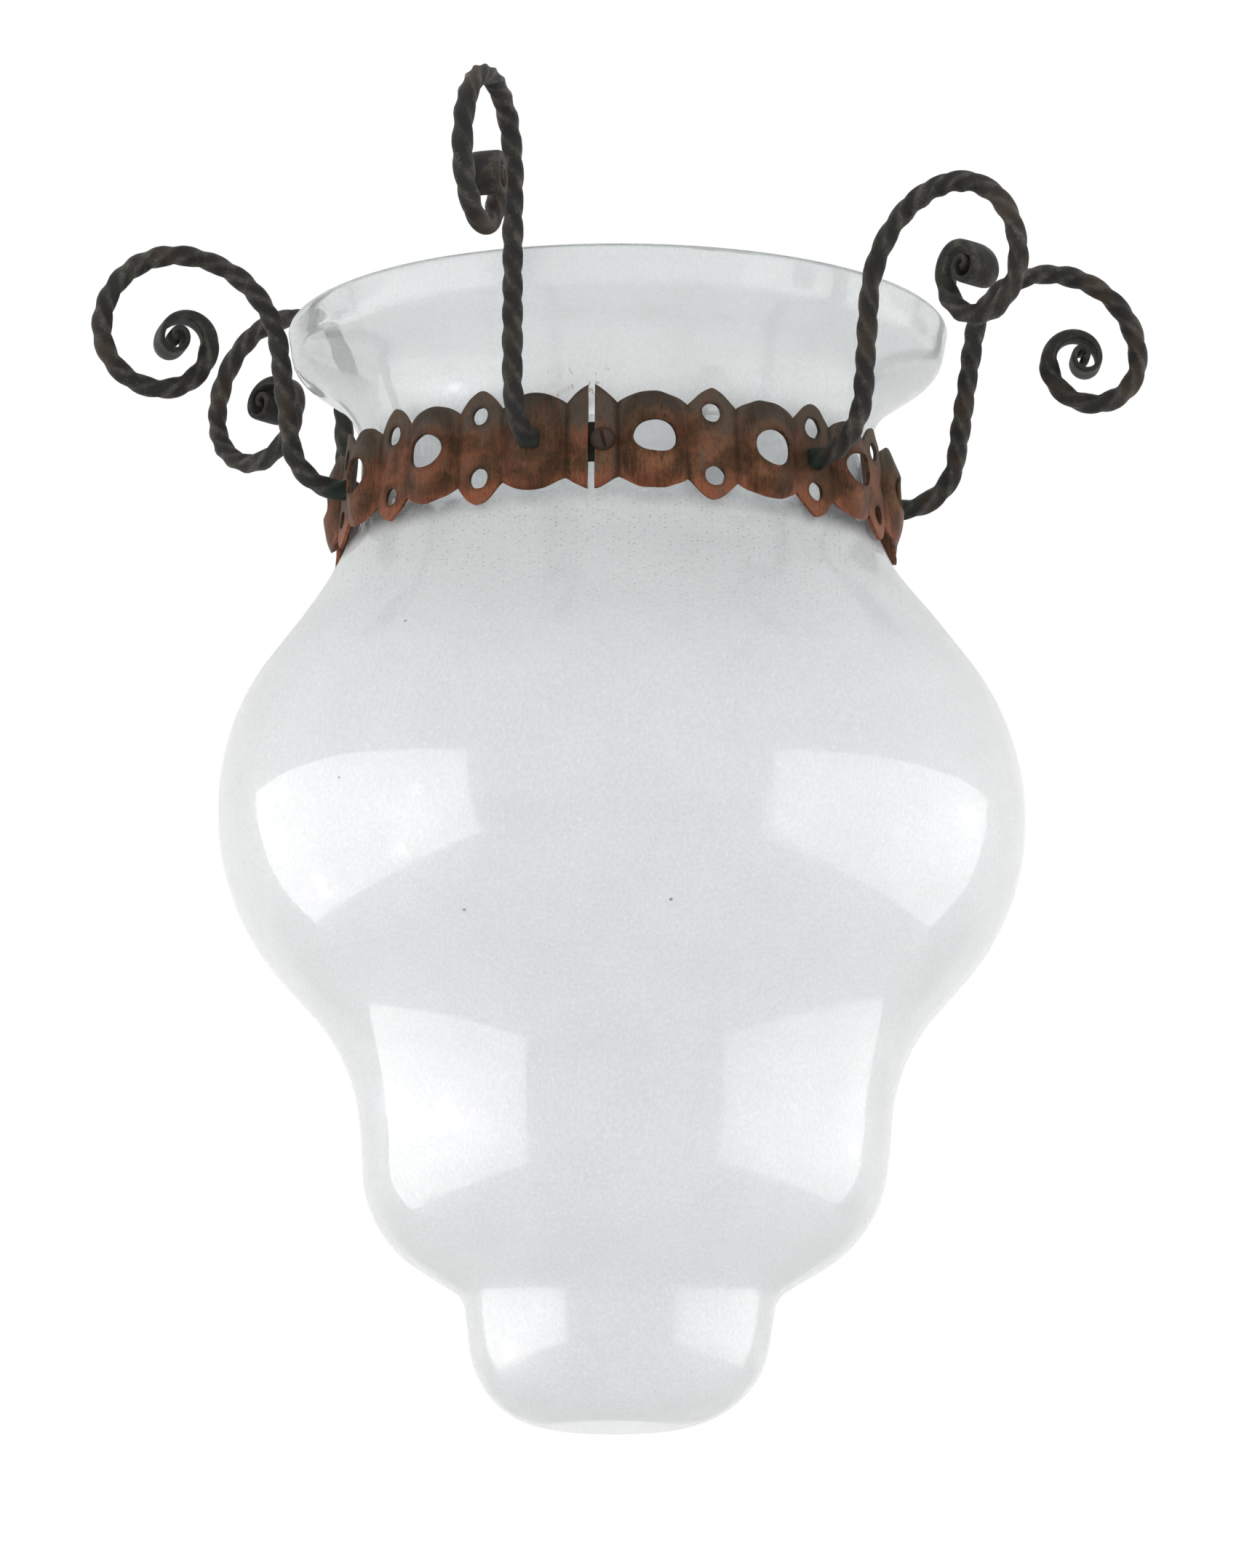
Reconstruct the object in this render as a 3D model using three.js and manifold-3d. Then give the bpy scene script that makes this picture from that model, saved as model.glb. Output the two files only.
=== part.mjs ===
// Hanging glass lamp: a blown glass shade in three tiers with a flared mouth, held at its neck
// by a pierced copper collar in two halves, which carries six twisted iron scroll arms.
// Millimetres and degrees, +Z up. The origin is on the lamp's axis, under the glass foot.
// An azimuth is counted from the front, -Y, towards +X.
import * as THREE from 'three';
import { mergeVertices } from 'three/addons/utils/BufferGeometryUtils.js';
import Module from 'manifold-3d';

const wasm = await Module();
wasm.setup();

// Driving dimensions

const clearance = 0.3; // gap between two pieces that seat on each other

// The outside of the glass, from the foot up. Each corner of its outline has a radius and stands
// a height above the corner before it, and a rounding is the radius of the arc that turns it.
const glass = {
  wall: 4,
  bulbRadius: 56, footRounding: 38,
  waistRadius: 63.6, bulbHeight: 53, waistRounding: 12,
  tierRadius: 105, tierFlareHeight: 26, tierRounding: 50,
  tierTopRadius: 111.5, tierHeight: 72, tierTopRounding: 80,
  bellyRadius: 166.3, bellyFlareHeight: 62, bellyHeight: 72, bellyRounding: 100,
  neckRadius: 105.5, shoulderHeight: 81.7, neckLowRounding: 91,
  neckHeight: 55.9, neckHighRounding: 34,
  lipRadius: 135, mouthHeight: 20.4, lipRounding: 10,
  rimRadius: 137.2, lipHeight: 13,
};

const collar = {
  thickness: 1.5,
  seatBelowNeck: 7.4, // how far the tips reach below the foot of the neck
  lobesPerHalf: 8, // with a point between one lobe and the next
  lobeWidth: 26, lobeHeight: 41, lobeRise: 6.5,
  edgeDome: 0.2, // share of the rise that is left at a lobe's upper and lower edge
  notchHeight: 33, pointHeight: 47.4,
  pointBow: 0.3, // how much a point's sides bow outward
  lobeHoleWidth: 15.6, lobeHoleHeight: 14.4,
  pointHoleDiameter: 7.3, pointHoleSpacing: 26,
  splitAzimuth: -4.6, splitGap: 2.5,
  spread: { right: 6, left: -2.5 }, // degrees by which the middle of each half is pushed round
};

const strap = { thickness: 3, height: 16, overlapLength: 8 };

const screw = {
  headDiameter: 10, headHeight: 3, shankDiameter: 5,
  slotWidth: 1.3, slotDepth: 1.4, slotTurn: 14,
  fromSplit: 4.7, // along the collar, from the middle of the split to the screw
};

const bar = {
  side: 7, twistLength: 45, // length of one full turn of the twist
  ribbonWidth: 15, ribbonThickness: 2.8,
  tenonDiameter: 5, rivetDiameter: 8, rivetHeight: 1.5,
};

const washer = { diameter: 11, thickness: 1.2 };
const spacerDiameter = 9;

// An arm's place counts lobes from the split at which its half of the collar begins, and the arm
// that holds the strap stands on the last lobe. The stem leans outward, passes the rim at standoff
// outside the mouth and reaches riseHeight above the foot, where the scroll begins. The scroll's
// first quarter turns have radii of their own.
const arms = {
  right_front: {
    half: 'right', place: 2, standoff: 5.1, lean: 4.9, riseHeight: 60, radii: [44, 37.5, 20, 19],
  },
  right: {
    half: 'right', place: 4, standoff: 8.2, lean: 8.5, riseHeight: 75, radii: [32, 37, 19, 18.5],
  },
  rear: {
    half: 'right', holdsStrap: true, standoff: 3, lean: 3, riseHeight: 70, radii: [37, 36, 21, 20],
  },
  left_rear: {
    half: 'left', place: 2.5, standoff: 12.8, lean: 2.6, riseHeight: 81, radii: [36.5, 38.5, 23.5, 23.5],
  },
  left: {
    half: 'left', place: 5, standoff: 3.8, lean: 7.8, riseHeight: 58.5, radii: [42, 32.7, 24.5, 20.5],
  },
  front: {
    half: 'left', holdsStrap: true, standoff: 1.9, lean: 0, riseHeight: 105, radii: [29.3, 37, 25.7, 19],
  },
};
const scrollEnd = { thirdRadius: 10.5, fourthRadius: 5.3 }; // then a half turn and the last curl
const lastCurl = 255; // how far the last one rolls round
const footLength = 3; // straight length between the collar and the bend of an arm

// Sizes of the facets
const facets = {
  around: 32, outsideArc: 20, insideArc: 45, barStep: 5.6, curlStep: 24,
  round: 10, smallRound: 8, lobeHole: 8, seatStep: 30,
};

// Values that follow from the driving dimensions

const rad = THREE.MathUtils.degToRad;
const deg = THREE.MathUtils.radToDeg;
const waistLevel = glass.bulbHeight;
const tierLevel = waistLevel + glass.tierFlareHeight;
const tierTopLevel = tierLevel + glass.tierHeight;
const bellyLevel = tierTopLevel + glass.bellyFlareHeight;
const bellyTopLevel = bellyLevel + glass.bellyHeight;
const neckLevel = bellyTopLevel + glass.shoulderHeight;
const neckTopLevel = neckLevel + glass.neckHeight;
const lipLevel = neckTopLevel + glass.mouthHeight;
const rimLevel = lipLevel + glass.lipHeight;
const glassCorners = [
  { r: 0, z: 0 },
  { r: glass.bulbRadius, z: 0, rounding: glass.footRounding },
  { r: glass.waistRadius, z: waistLevel, rounding: glass.waistRounding },
  { r: glass.tierRadius, z: tierLevel, rounding: glass.tierRounding },
  { r: glass.tierTopRadius, z: tierTopLevel, rounding: glass.tierTopRounding },
  { r: glass.bellyRadius, z: bellyLevel, rounding: glass.bellyRounding },
  { r: glass.bellyRadius, z: bellyTopLevel, rounding: glass.bellyRounding },
  { r: glass.neckRadius, z: neckLevel, rounding: glass.neckLowRounding },
  { r: glass.neckRadius, z: neckTopLevel, rounding: glass.neckHighRounding },
  { r: glass.lipRadius, z: lipLevel, rounding: glass.lipRounding },
  { r: glass.rimRadius, z: rimLevel },
];
const glassOutline = roundedOutline(glassCorners, facets.outsideArc);
const seatHeight = neckLevel - collar.seatBelowNeck;
const bandTop = seatHeight + collar.pointHeight;
const bandMiddle = (seatHeight + bandTop) / 2;
const strapTop = bandMiddle + strap.height / 2;
const strapInside = glassReach(bandMiddle - strap.height / 2, strapTop) + clearance;
const strapOutside = strapInside + strap.thickness;
const seatInside = glassReach(seatHeight, seatHeight) + clearance;
const bandLean = leanOver([
  { x: strapOutside, y: strapTop },
  { x: glassRadiusAt(bandTop), y: bandTop },
  ...glassBetween(seatHeight, bandTop),
]);
const pitch = 180 / collar.lobesPerHalf;
const midRadius = bandInside(bandMiddle) + collar.thickness;
const lobeHalf = deg(collar.lobeWidth / 2 / midRadius); // half the angle that a lobe takes
const pointHalf = pitch / 2 - lobeHalf;
const gapHalf = deg(collar.splitGap / 2 / midRadius);
const screwAngle = deg(screw.fromSplit / midRadius); // from the split, about the lamp's axis
const tenonHole = bar.tenonDiameter + 2 * clearance;
const shankHole = screw.shankDiameter + 2 * clearance;
const drillFrom = midRadius / 2; // a drill for the collar runs well past it, in and out
const drillTo = midRadius * 1.5;
const mouthRadius = glassReach(bandMiddle, rimLevel);

// The rounded top of a screw's head, as shares of its radius and of its height.
const panHead = [[0.96, 0], [1, 0.35], [0.8, 0.78], [0.45, 0.96], [0, 1]];

// Materials

const glassMaterial = new THREE.MeshStandardMaterial({
  color: 0xdfe4e2, roughness: 0.15, metalness: 0, transparent: true, opacity: 0.8,
});
const copperMaterial = new THREE.MeshStandardMaterial({ color: 0x7a4a33, roughness: 0.5, metalness: 0.8 });
const ironMaterial = new THREE.MeshStandardMaterial({ color: 0x3b3936, roughness: 0.6, metalness: 0.7 });

// Outlines and solids

// Lines between corners, each inner corner turned by an arc, as points with their outward normals.
// Two arcs that don't both fit on the line between them are drawn in alike.
function roundedOutline(corners, arcStep) {
  const spots = corners.map(({ r, z }) => new THREE.Vector2(r, z));
  const legs = spots.slice(1).map((spot, leg) => spot.clone().sub(spots[leg]));
  const rightOf = (along) => new THREE.Vector2(along.y, -along.x).normalize();
  const turns = spots.map((spot, corner) => {
    const [arriving, leaving] = [legs[corner - 1], legs[corner]];
    return arriving && leaving ? Math.atan2(arriving.cross(leaving), arriving.dot(leaving)) : 0;
  });
  const wanted = turns.map((turn, corner) => (
    turn ? corners[corner].rounding * Math.tan(Math.abs(turn) / 2) : 0
  ));
  const fits = legs.map((leg, index) => Math.min(1, leg.length() / (wanted[index] + wanted[index + 1])));
  const points = [{ point: spots[0], normal: rightOf(legs[0]) }];
  for (let corner = 1; corner < legs.length; corner++) {
    const turn = turns[corner];
    const tangent = wanted[corner] * Math.min(fits[corner - 1], fits[corner]);
    const radius = tangent / Math.tan(Math.abs(turn) / 2);
    const outward = rightOf(legs[corner - 1]);
    const toCentre = outward.clone().multiplyScalar(-Math.sign(turn) * radius);
    const start = spots[corner].clone().sub(legs[corner - 1].clone().setLength(tangent));
    const centre = start.clone().add(toCentre);
    const steps = Math.max(2, Math.ceil(deg(Math.abs(turn)) / arcStep));
    for (let step = 0; step <= steps; step++) {
      const swing = turn * step / steps;
      points.push({
        point: start.clone().rotateAround(centre, swing),
        normal: outward.clone().rotateAround(new THREE.Vector2(), swing),
      });
    }
  }
  points.push({ point: spots.at(-1), normal: rightOf(legs.at(-1)) });
  return points;
}

function glassRadiusAt(height) {
  const above = glassOutline.findIndex(({ point }) => point.y >= height && point.x > 0);
  const low = glassOutline[above - 1].point;
  const high = glassOutline[above].point;
  return THREE.MathUtils.mapLinear(height, low.y, high.y, low.x, high.x);
}

function glassBetween(low, high) {
  return glassOutline.map(({ point }) => point).filter(({ y }) => y > low && y < high);
}

// The greatest radius of the glass from one height to another.
function glassReach(low, high) {
  const between = glassBetween(low, high).map(({ x }) => x);
  return Math.max(glassRadiusAt(low), glassRadiusAt(high), ...between);
}

// How steeply the copper leans out from its seat so that it clears what stands behind it.
function leanOver(spots) {
  return Math.max(...spots.map(({ x, y }) => (x + clearance - seatInside) / (y - seatHeight)));
}

// A closed mesh as a solid that can be joined and cut.
function toSolid(geometry) {
  const bare = geometry.clone();
  bare.deleteAttribute('normal');
  bare.deleteAttribute('uv');
  const merged = mergeVertices(bare, 1e-5);
  const corners = [...merged.index.array];
  const triangles = [];
  for (let i = 0; i < corners.length; i += 3) {
    const [a, b, c] = corners.slice(i, i + 3);
    if (a !== b && b !== c && c !== a) triangles.push(a, b, c);
  }
  const mesh = new wasm.Mesh({
    numProp: 3,
    vertProperties: new Float32Array(merged.attributes.position.array),
    triVerts: new Uint32Array(triangles),
  });
  return new wasm.Manifold(mesh);
}

function toGeometry(solid) {
  const mesh = solid.getMesh();
  const geometry = new THREE.BufferGeometry();
  geometry.setAttribute('position', new THREE.BufferAttribute(mesh.vertProperties, 3));
  geometry.setIndex(new THREE.BufferAttribute(mesh.triVerts, 1));
  geometry.computeVertexNormals();
  return geometry;
}

// A closed tube of rings, each ring being the same number of points, with flat ends.
function tubeOfRings(rings) {
  const size = rings[0].length;
  const positions = rings.flat().flatMap((point) => point.toArray());
  const index = [];
  for (let ring = 0; ring < rings.length - 1; ring++) {
    for (let side = 0; side < size; side++) {
      const a = ring * size + side;
      const b = ring * size + (side + 1) % size;
      index.push(a, b, b + size, a, b + size, a + size);
    }
  }
  const last = (rings.length - 1) * size;
  for (let side = 1; side < size - 1; side++) {
    index.push(0, side + 1, side);
    index.push(last, last + side, last + side + 1);
  }
  const geometry = new THREE.BufferGeometry();
  geometry.setAttribute('position', new THREE.Float32BufferAttribute(positions, 3));
  geometry.setIndex(index);
  return geometry;
}

// A round bar along +X, from one distance from the lamp's axis to another.
function radialBar(diameter, from, to, sides = facets.smallRound) {
  return new THREE.CylinderGeometry(diameter / 2, diameter / 2, to - from, sides)
    .rotateZ(-Math.PI / 2)
    .translate((from + to) / 2, 0, 0);
}

function lathe(points, around = facets.around) {
  return new THREE.LatheGeometry(points, around).rotateX(Math.PI / 2);
}

// Glass

function glassGeometry() {
  const outside = glassOutline.map(({ point }) => point);
  const inside = roundedOutline(glassCorners, facets.insideArc).map(({ point, normal }) => {
    const offset = point.clone().addScaledVector(normal, -glass.wall);
    return new THREE.Vector2(Math.max(offset.x, 0), offset.y);
  });
  const outerEnd = outside.at(-1);
  const innerEnd = inside.at(-1);
  const centre = outerEnd.clone().add(innerEnd).multiplyScalar(0.5);
  const rim = [60, 120].map((angle) => outerEnd.clone().rotateAround(centre, rad(angle)));
  const profile = [...outside, ...rim, ...inside.reverse()];
  return toGeometry(toSolid(lathe(profile)));
}

// Collar

function bandInside(height) {
  return seatInside + bandLean * (height - seatHeight);
}

// A round cap that falls from 1 in the middle to 0 at its edge, in chords between the grid lines
// of a lobe, which lie at every half.
function chordedCap(across) {
  const line = Math.min(Math.floor(across * 2), 1) / 2;
  const cap = (share) => 1 - share * share;
  return THREE.MathUtils.mapLinear(across, line, line + 0.5, cap(line), cap(line + 0.5));
}

// A collar beaten by hand isn't divided evenly. A place on a half, counted in lobes from its split,
// lies at this angle from the split, in degrees.
function laidAngle(half, place) {
  const even = place * pitch;
  return even + collar.spread[half] * Math.sin(rad(even));
}

// The angle at which that place would lie on an even collar.
function evenAngle(half, angle) {
  let even = angle;
  for (let pass = 0; pass < 8; pass++) even = angle - collar.spread[half] * Math.sin(rad(even));
  return even;
}

// The edges and the dome of half the collar at an angle from its split.
function bandShape(half, angle) {
  const even = evenAngle(half, angle);
  const fromPoint = THREE.MathUtils.euclideanModulo(even + pitch / 2, pitch) - pitch / 2;
  const fromLobe = pitch / 2 - Math.abs(fromPoint);
  if (fromLobe < lobeHalf) {
    const across = fromLobe / lobeHalf;
    const arc = Math.sqrt(Math.max(0, 1 - across * across));
    const edge = THREE.MathUtils.lerp(collar.notchHeight, collar.lobeHeight, arc) / 2;
    return { top: edge, bottom: edge, dome: collar.lobeRise * chordedCap(across) };
  }
  const climb = 1 - Math.abs(fromPoint) / pointHalf;
  const atSplit = Math.abs(even - 90) > 90 - pitch / 2;
  const bottomHeight = atSplit ? collar.lobeHeight : collar.pointHeight;
  const outward = climb * (1 + collar.pointBow * (1 - climb));
  return {
    top: THREE.MathUtils.lerp(collar.notchHeight, collar.pointHeight, outward) / 2,
    bottom: THREE.MathUtils.lerp(collar.notchHeight, bottomHeight, outward) / 2,
    dome: 0,
  };
}

// Distance of the copper from the lamp's axis, inside or outside, at an angle and a height above
// the middle of the band.
function bandRadius(half, angle, height, outside) {
  const { top, bottom, dome } = bandShape(half, angle);
  const across = Math.min(1, Math.abs(height) / (height > 0 ? top : bottom));
  const share = THREE.MathUtils.lerp(collar.edgeDome, 1, chordedCap(across));
  return bandInside(bandMiddle + height) + dome * share + (outside ? collar.thickness : 0);
}

// How far from the axis a flat round face of this diameter seats on the copper at that angle.
function bandSeat(half, angle, diameter, outside) {
  const reaches = [bandRadius(half, angle, 0, outside)];
  for (let turn = 0; turn < 360; turn += facets.seatStep) {
    const sideways = diameter / 2 * Math.cos(rad(turn));
    const upward = diameter / 2 * Math.sin(rad(turn));
    const swing = Math.atan(sideways / midRadius);
    reaches.push(bandRadius(half, angle + deg(swing), upward, outside) * Math.cos(swing));
  }
  return outside ? Math.max(...reaches) + clearance : Math.min(...reaches) - clearance;
}

// Angles of the grid lines across half the collar: five on each lobe and one on each point.
function bandColumns(half) {
  const angles = [gapHalf];
  for (let lobe = 0; lobe < collar.lobesPerHalf; lobe++) {
    const toEdge = lobeHalf / pitch;
    for (let line = -1; line <= 1; line += 0.5) angles.push(laidAngle(half, lobe + 0.5 + toEdge * line));
    angles.push(laidAngle(half, lobe + 1));
  }
  angles[angles.length - 1] = 180 - gapHalf;
  return angles;
}

// Half the collar, from one split at +X round to the other, with the arms at these places and
// the clamp screw beside the first split.
function collarHalfGeometry(half, armPlaces) {
  const rows = [-1, -0.5, 0, 0.5, 1];
  const rings = bandColumns(half).map((angle) => {
    const { top, bottom } = bandShape(half, angle);
    const heights = rows.map((row) => row * (row > 0 ? top : bottom));
    const place = (height, outside) => new THREE.Vector3(
      bandRadius(half, angle, height, outside) * Math.cos(rad(angle)),
      bandRadius(half, angle, height, outside) * Math.sin(rad(angle)),
      height,
    );
    const outer = heights.map((height) => place(height, true)).reverse();
    const inner = heights.map((height) => place(height, false));
    return [...outer, ...inner];
  });
  const cuts = [];
  const drill = (angle, height, width, tall = width, sides = facets.smallRound) => {
    const hole = radialBar(1, drillFrom, drillTo, sides).scale(1, width, tall);
    hole.translate(0, 0, height).rotateZ(rad(angle));
    cuts.push(toSolid(hole));
  };
  for (let lobe = 0.5; lobe < collar.lobesPerHalf; lobe++) {
    const carriesArm = armPlaces.some((place) => Math.abs(place - lobe) * pitch < lobeHalf);
    const size = [collar.lobeHoleWidth, collar.lobeHoleHeight];
    if (!carriesArm) drill(laidAngle(half, lobe), 0, ...size, facets.lobeHole);
  }
  for (let point = 1; point < collar.lobesPerHalf; point++) {
    for (const side of [-1, 1]) {
      drill(laidAngle(half, point), side * collar.pointHoleSpacing / 2, collar.pointHoleDiameter);
    }
  }
  for (const place of armPlaces) drill(laidAngle(half, place), 0, tenonHole);
  drill(screwAngle, 0, shankHole);
  const band = toSolid(tubeOfRings(rings));
  return toGeometry(cuts.reduce((rest, cut) => rest.subtract(cut), band));
}

// Joint at each split: a curved iron strap behind the copper, tapped for the clamp screw.

function strapGeometry(tenonAngle) {
  const reach = deg(strap.overlapLength / 2 / strapOutside);
  const from = rad(tenonAngle - reach);
  const to = rad(screwAngle + reach);
  const outline = new THREE.Shape();
  outline.absarc(0, 0, strapOutside, from, to, false);
  outline.absarc(0, 0, strapInside, to, from, true);
  const plate = new THREE.ExtrudeGeometry(outline, {
    depth: strap.height, bevelEnabled: false, curveSegments: 8,
  }).translate(0, 0, -strap.height / 2);
  const holeFor = (diameter, angle) => toSolid(
    radialBar(diameter, drillFrom, drillTo).rotateZ(rad(angle)),
  );
  const drilled = toSolid(plate)
    .subtract(holeFor(tenonHole, tenonAngle))
    .subtract(holeFor(shankHole, screwAngle));
  return toGeometry(drilled);
}

// A pan head on a plain shank along +X, with the slot across the head.
function screwGeometry(half) {
  const seat = bandSeat(half, screwAngle, screw.headDiameter, true);
  const headRadius = screw.headDiameter / 2;
  const shank = screw.shankDiameter / 2;
  const tip = strapInside * Math.cos(Math.asin(shank / strapInside));
  const head = panHead.map(([out, up]) => [headRadius * out, seat + screw.headHeight * up]);
  const profile = [[0, tip], [shank, tip], [shank, seat], ...head]
    .map(([r, x]) => new THREE.Vector2(r, x));
  const body = lathe(profile, facets.round).rotateY(Math.PI / 2);
  const slot = new THREE.BoxGeometry(screw.slotDepth * 2, screw.slotWidth, screw.headDiameter * 2)
    .translate(seat + screw.headHeight, 0, 0)
    .rotateX(rad(screw.slotTurn));
  return toGeometry(toSolid(body).subtract(toSolid(slot)));
}

function ringGeometry(outsideDiameter, from, to) {
  const ring = toSolid(radialBar(outsideDiameter, from, to, facets.round));
  return toGeometry(ring.subtract(toSolid(radialBar(tenonHole, drillFrom, drillTo))));
}

// Scroll arm

// The centre line of an arm in its own plane, x outward from the lamp's axis and z up from the
// foot: a straight foot, a bend, a straight stem and a scroll. The foot and the stem, drawn on as
// straight lines, meet at a corner that the bend rounds.
function armRoute(arm, start) {
  const stemAtRim = mouthRadius + bar.side * Math.SQRT1_2 + arm.standoff;
  const corner = stemAtRim - (rimLevel - bandMiddle) * Math.tan(rad(arm.lean));
  const bendTurn = 90 - arm.lean;
  const bend = (corner - start - footLength) / Math.tan(rad(bendTurn / 2));
  const bendHeight = bend * (1 - Math.cos(rad(bendTurn)));
  const stations = [];
  const at = new THREE.Vector2(start, 0);
  let heading = 0;
  let travelled = 0;
  const add = (part) => stations.push({ at: at.clone(), heading, travelled, part });
  const line = (length, part) => {
    const steps = Math.ceil(length / facets.barStep);
    for (let step = 0; step < steps; step++) {
      add(part);
      at.add(new THREE.Vector2(length / steps, 0).rotateAround(new THREE.Vector2(), heading));
      travelled += length / steps;
    }
  };
  const arc = (radius, turn, part) => {
    const length = radius * Math.abs(rad(turn));
    const byAngle = Math.ceil(Math.abs(turn) / facets.curlStep);
    const steps = Math.max(Math.ceil(length / facets.barStep), byAngle);
    for (let step = 0; step < steps; step++) {
      add(part);
      const chord = 2 * radius * Math.sin(Math.abs(rad(turn)) / steps / 2);
      const halfStep = rad(turn) / steps / 2;
      heading += halfStep;
      at.add(new THREE.Vector2(chord, 0).rotateAround(new THREE.Vector2(), heading));
      heading += halfStep;
      travelled += length / steps;
    }
  };
  line(footLength, 'bar');
  arc(bend, bendTurn, 'bar');
  line((arm.riseHeight - bendHeight) / Math.cos(rad(arm.lean)), 'bar');
  arm.radii.forEach((radius, quarter) => arc(radius, quarter === 0 ? -bendTurn : -90, 'bar'));
  arc(scrollEnd.thirdRadius, -180, 'spread');
  arc(scrollEnd.fourthRadius, -lastCurl, 'ribbon');
  add('ribbon');
  return stations;
}

// A square bar twisted along its length, hammered out into a ribbon over the third half turn.
function armGeometry(arm, start, tenonEnd, rivetSeat) {
  const stations = armRoute(arm, start);
  const twisted = stations.findLast(({ part }) => part === 'bar').travelled;
  const spreadEnd = stations.find(({ part }) => part === 'ribbon').travelled;
  const quarters = Math.round(twisted / (bar.twistLength / 4));
  const rings = stations.map(({ at, heading, travelled }) => {
    const twist = Math.min(1, travelled / twisted) * quarters * Math.PI / 2;
    const spread = THREE.MathUtils.smoothstep(travelled, twisted, spreadEnd);
    const thick = THREE.MathUtils.lerp(bar.side, bar.ribbonThickness, spread) / 2;
    const wide = THREE.MathUtils.lerp(bar.side, bar.ribbonWidth, spread) / 2;
    const swap = quarters % 2 === 1;
    const [inPlane, across] = swap ? [wide, thick] : [thick, wide];
    const corners = [[1, 1], [1, -1], [-1, -1], [-1, 1]];
    return corners.map(([first, second]) => {
      const corner = new THREE.Vector2(first * inPlane, second * across);
      corner.rotateAround(new THREE.Vector2(), twist);
      const normal = new THREE.Vector2(-Math.sin(heading), Math.cos(heading)).multiplyScalar(corner.x);
      return new THREE.Vector3(at.x + normal.x, corner.y, at.y + normal.y);
    });
  });
  let solid = toSolid(tubeOfRings(rings));
  solid = solid.add(toSolid(radialBar(bar.tenonDiameter, tenonEnd, start + footLength / 2)));
  if (rivetSeat) {
    solid = solid.add(toSolid(radialBar(bar.rivetDiameter, rivetSeat - bar.rivetHeight, rivetSeat)));
  }
  return toGeometry(solid);
}

// Assembly

const lamp = new THREE.Group();

function addMesh(parent, name, geometry, material) {
  const mesh = new THREE.Mesh(geometry, material);
  mesh.name = name;
  parent.add(mesh);
  return mesh;
}

// A group at the middle of the collar whose +X points outward at an azimuth.
function radialGroup(azimuth) {
  const group = new THREE.Group();
  group.position.z = bandMiddle;
  group.rotation.z = rad(azimuth - 90);
  lamp.add(group);
  return group;
}

addMesh(lamp, 'glass_shade', glassGeometry(), glassMaterial);

const halves = [
  { side: 'right', split: 'front', azimuth: collar.splitAzimuth },
  { side: 'left', split: 'rear', azimuth: collar.splitAzimuth + 180 },
];

// Place of an arm on its half of the collar.
function armPlace({ holdsStrap, place }) {
  return holdsStrap ? collar.lobesPerHalf - 0.5 : place;
}

for (const half of halves) {
  const group = radialGroup(half.azimuth);
  const armPlaces = Object.values(arms).filter((arm) => arm.half === half.side).map(armPlace);
  addMesh(group, `collar_half_${half.side}`, collarHalfGeometry(half.side, armPlaces), copperMaterial);
  const other = halves.find(({ side }) => side !== half.side);
  const tenonAngle = laidAngle(other.side, collar.lobesPerHalf - 0.5) - 180;
  addMesh(group, `joint_strap_${half.split}`, strapGeometry(tenonAngle), ironMaterial);
  const screwGroup = new THREE.Group();
  screwGroup.rotation.z = rad(screwAngle);
  group.add(screwGroup);
  addMesh(screwGroup, `clamp_screw_${half.split}`, screwGeometry(half.side), ironMaterial);
}

for (const [name, arm] of Object.entries(arms)) {
  const angle = laidAngle(arm.half, armPlace(arm));
  const group = radialGroup(halves.find(({ side }) => side === arm.half).azimuth + angle);
  const start = bandSeat(arm.half, angle, bar.side * Math.SQRT2, true);
  if (arm.holdsStrap) {
    const tenonEnd = strapInside * Math.cos(Math.asin(bar.tenonDiameter / 2 / strapInside));
    addMesh(group, `scroll_arm_${name}`, armGeometry(arm, start, tenonEnd), ironMaterial);
    const outerFace = bandSeat(arm.half, angle, spacerDiameter, false);
    const spacer = ringGeometry(spacerDiameter, strapOutside + clearance, outerFace);
    addMesh(group, `strap_spacer_${name}`, spacer, ironMaterial);
  } else {
    const outerFace = bandSeat(arm.half, angle, washer.diameter, false);
    const rivetSeat = outerFace - washer.thickness - clearance;
    const tenonEnd = rivetSeat - bar.rivetHeight / 2;
    const geometry = armGeometry(arm, start, tenonEnd, rivetSeat);
    addMesh(group, `scroll_arm_${name}`, geometry, ironMaterial);
    const disc = ringGeometry(washer.diameter, outerFace - washer.thickness, outerFace);
    addMesh(group, `arm_washer_${name}`, disc, ironMaterial);
  }
}

export default lamp;
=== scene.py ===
# Hanging glass lamp: blown glass in three tiers, a pierced copper collar and six iron scrolls.
# Lengths in the dictionaries are millimetres, in the last two metres, and angles are degrees.
# Meshes are metres, +Z up, the front facing -Y.
import math

import bmesh
import bpy
import numpy as np
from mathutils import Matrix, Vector


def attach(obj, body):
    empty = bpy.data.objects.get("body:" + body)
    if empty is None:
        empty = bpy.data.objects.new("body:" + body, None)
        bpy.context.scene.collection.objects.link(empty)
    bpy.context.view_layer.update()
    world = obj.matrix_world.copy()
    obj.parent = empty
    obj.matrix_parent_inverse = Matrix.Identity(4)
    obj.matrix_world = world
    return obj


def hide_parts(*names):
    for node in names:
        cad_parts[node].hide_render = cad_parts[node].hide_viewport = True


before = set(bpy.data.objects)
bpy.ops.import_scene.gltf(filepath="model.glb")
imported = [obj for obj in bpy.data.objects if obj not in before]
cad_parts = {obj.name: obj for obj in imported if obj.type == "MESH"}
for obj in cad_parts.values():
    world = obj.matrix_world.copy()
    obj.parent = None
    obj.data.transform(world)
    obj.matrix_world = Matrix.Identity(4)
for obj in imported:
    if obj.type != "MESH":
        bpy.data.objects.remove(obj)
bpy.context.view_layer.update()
mm = 0.001
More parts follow.
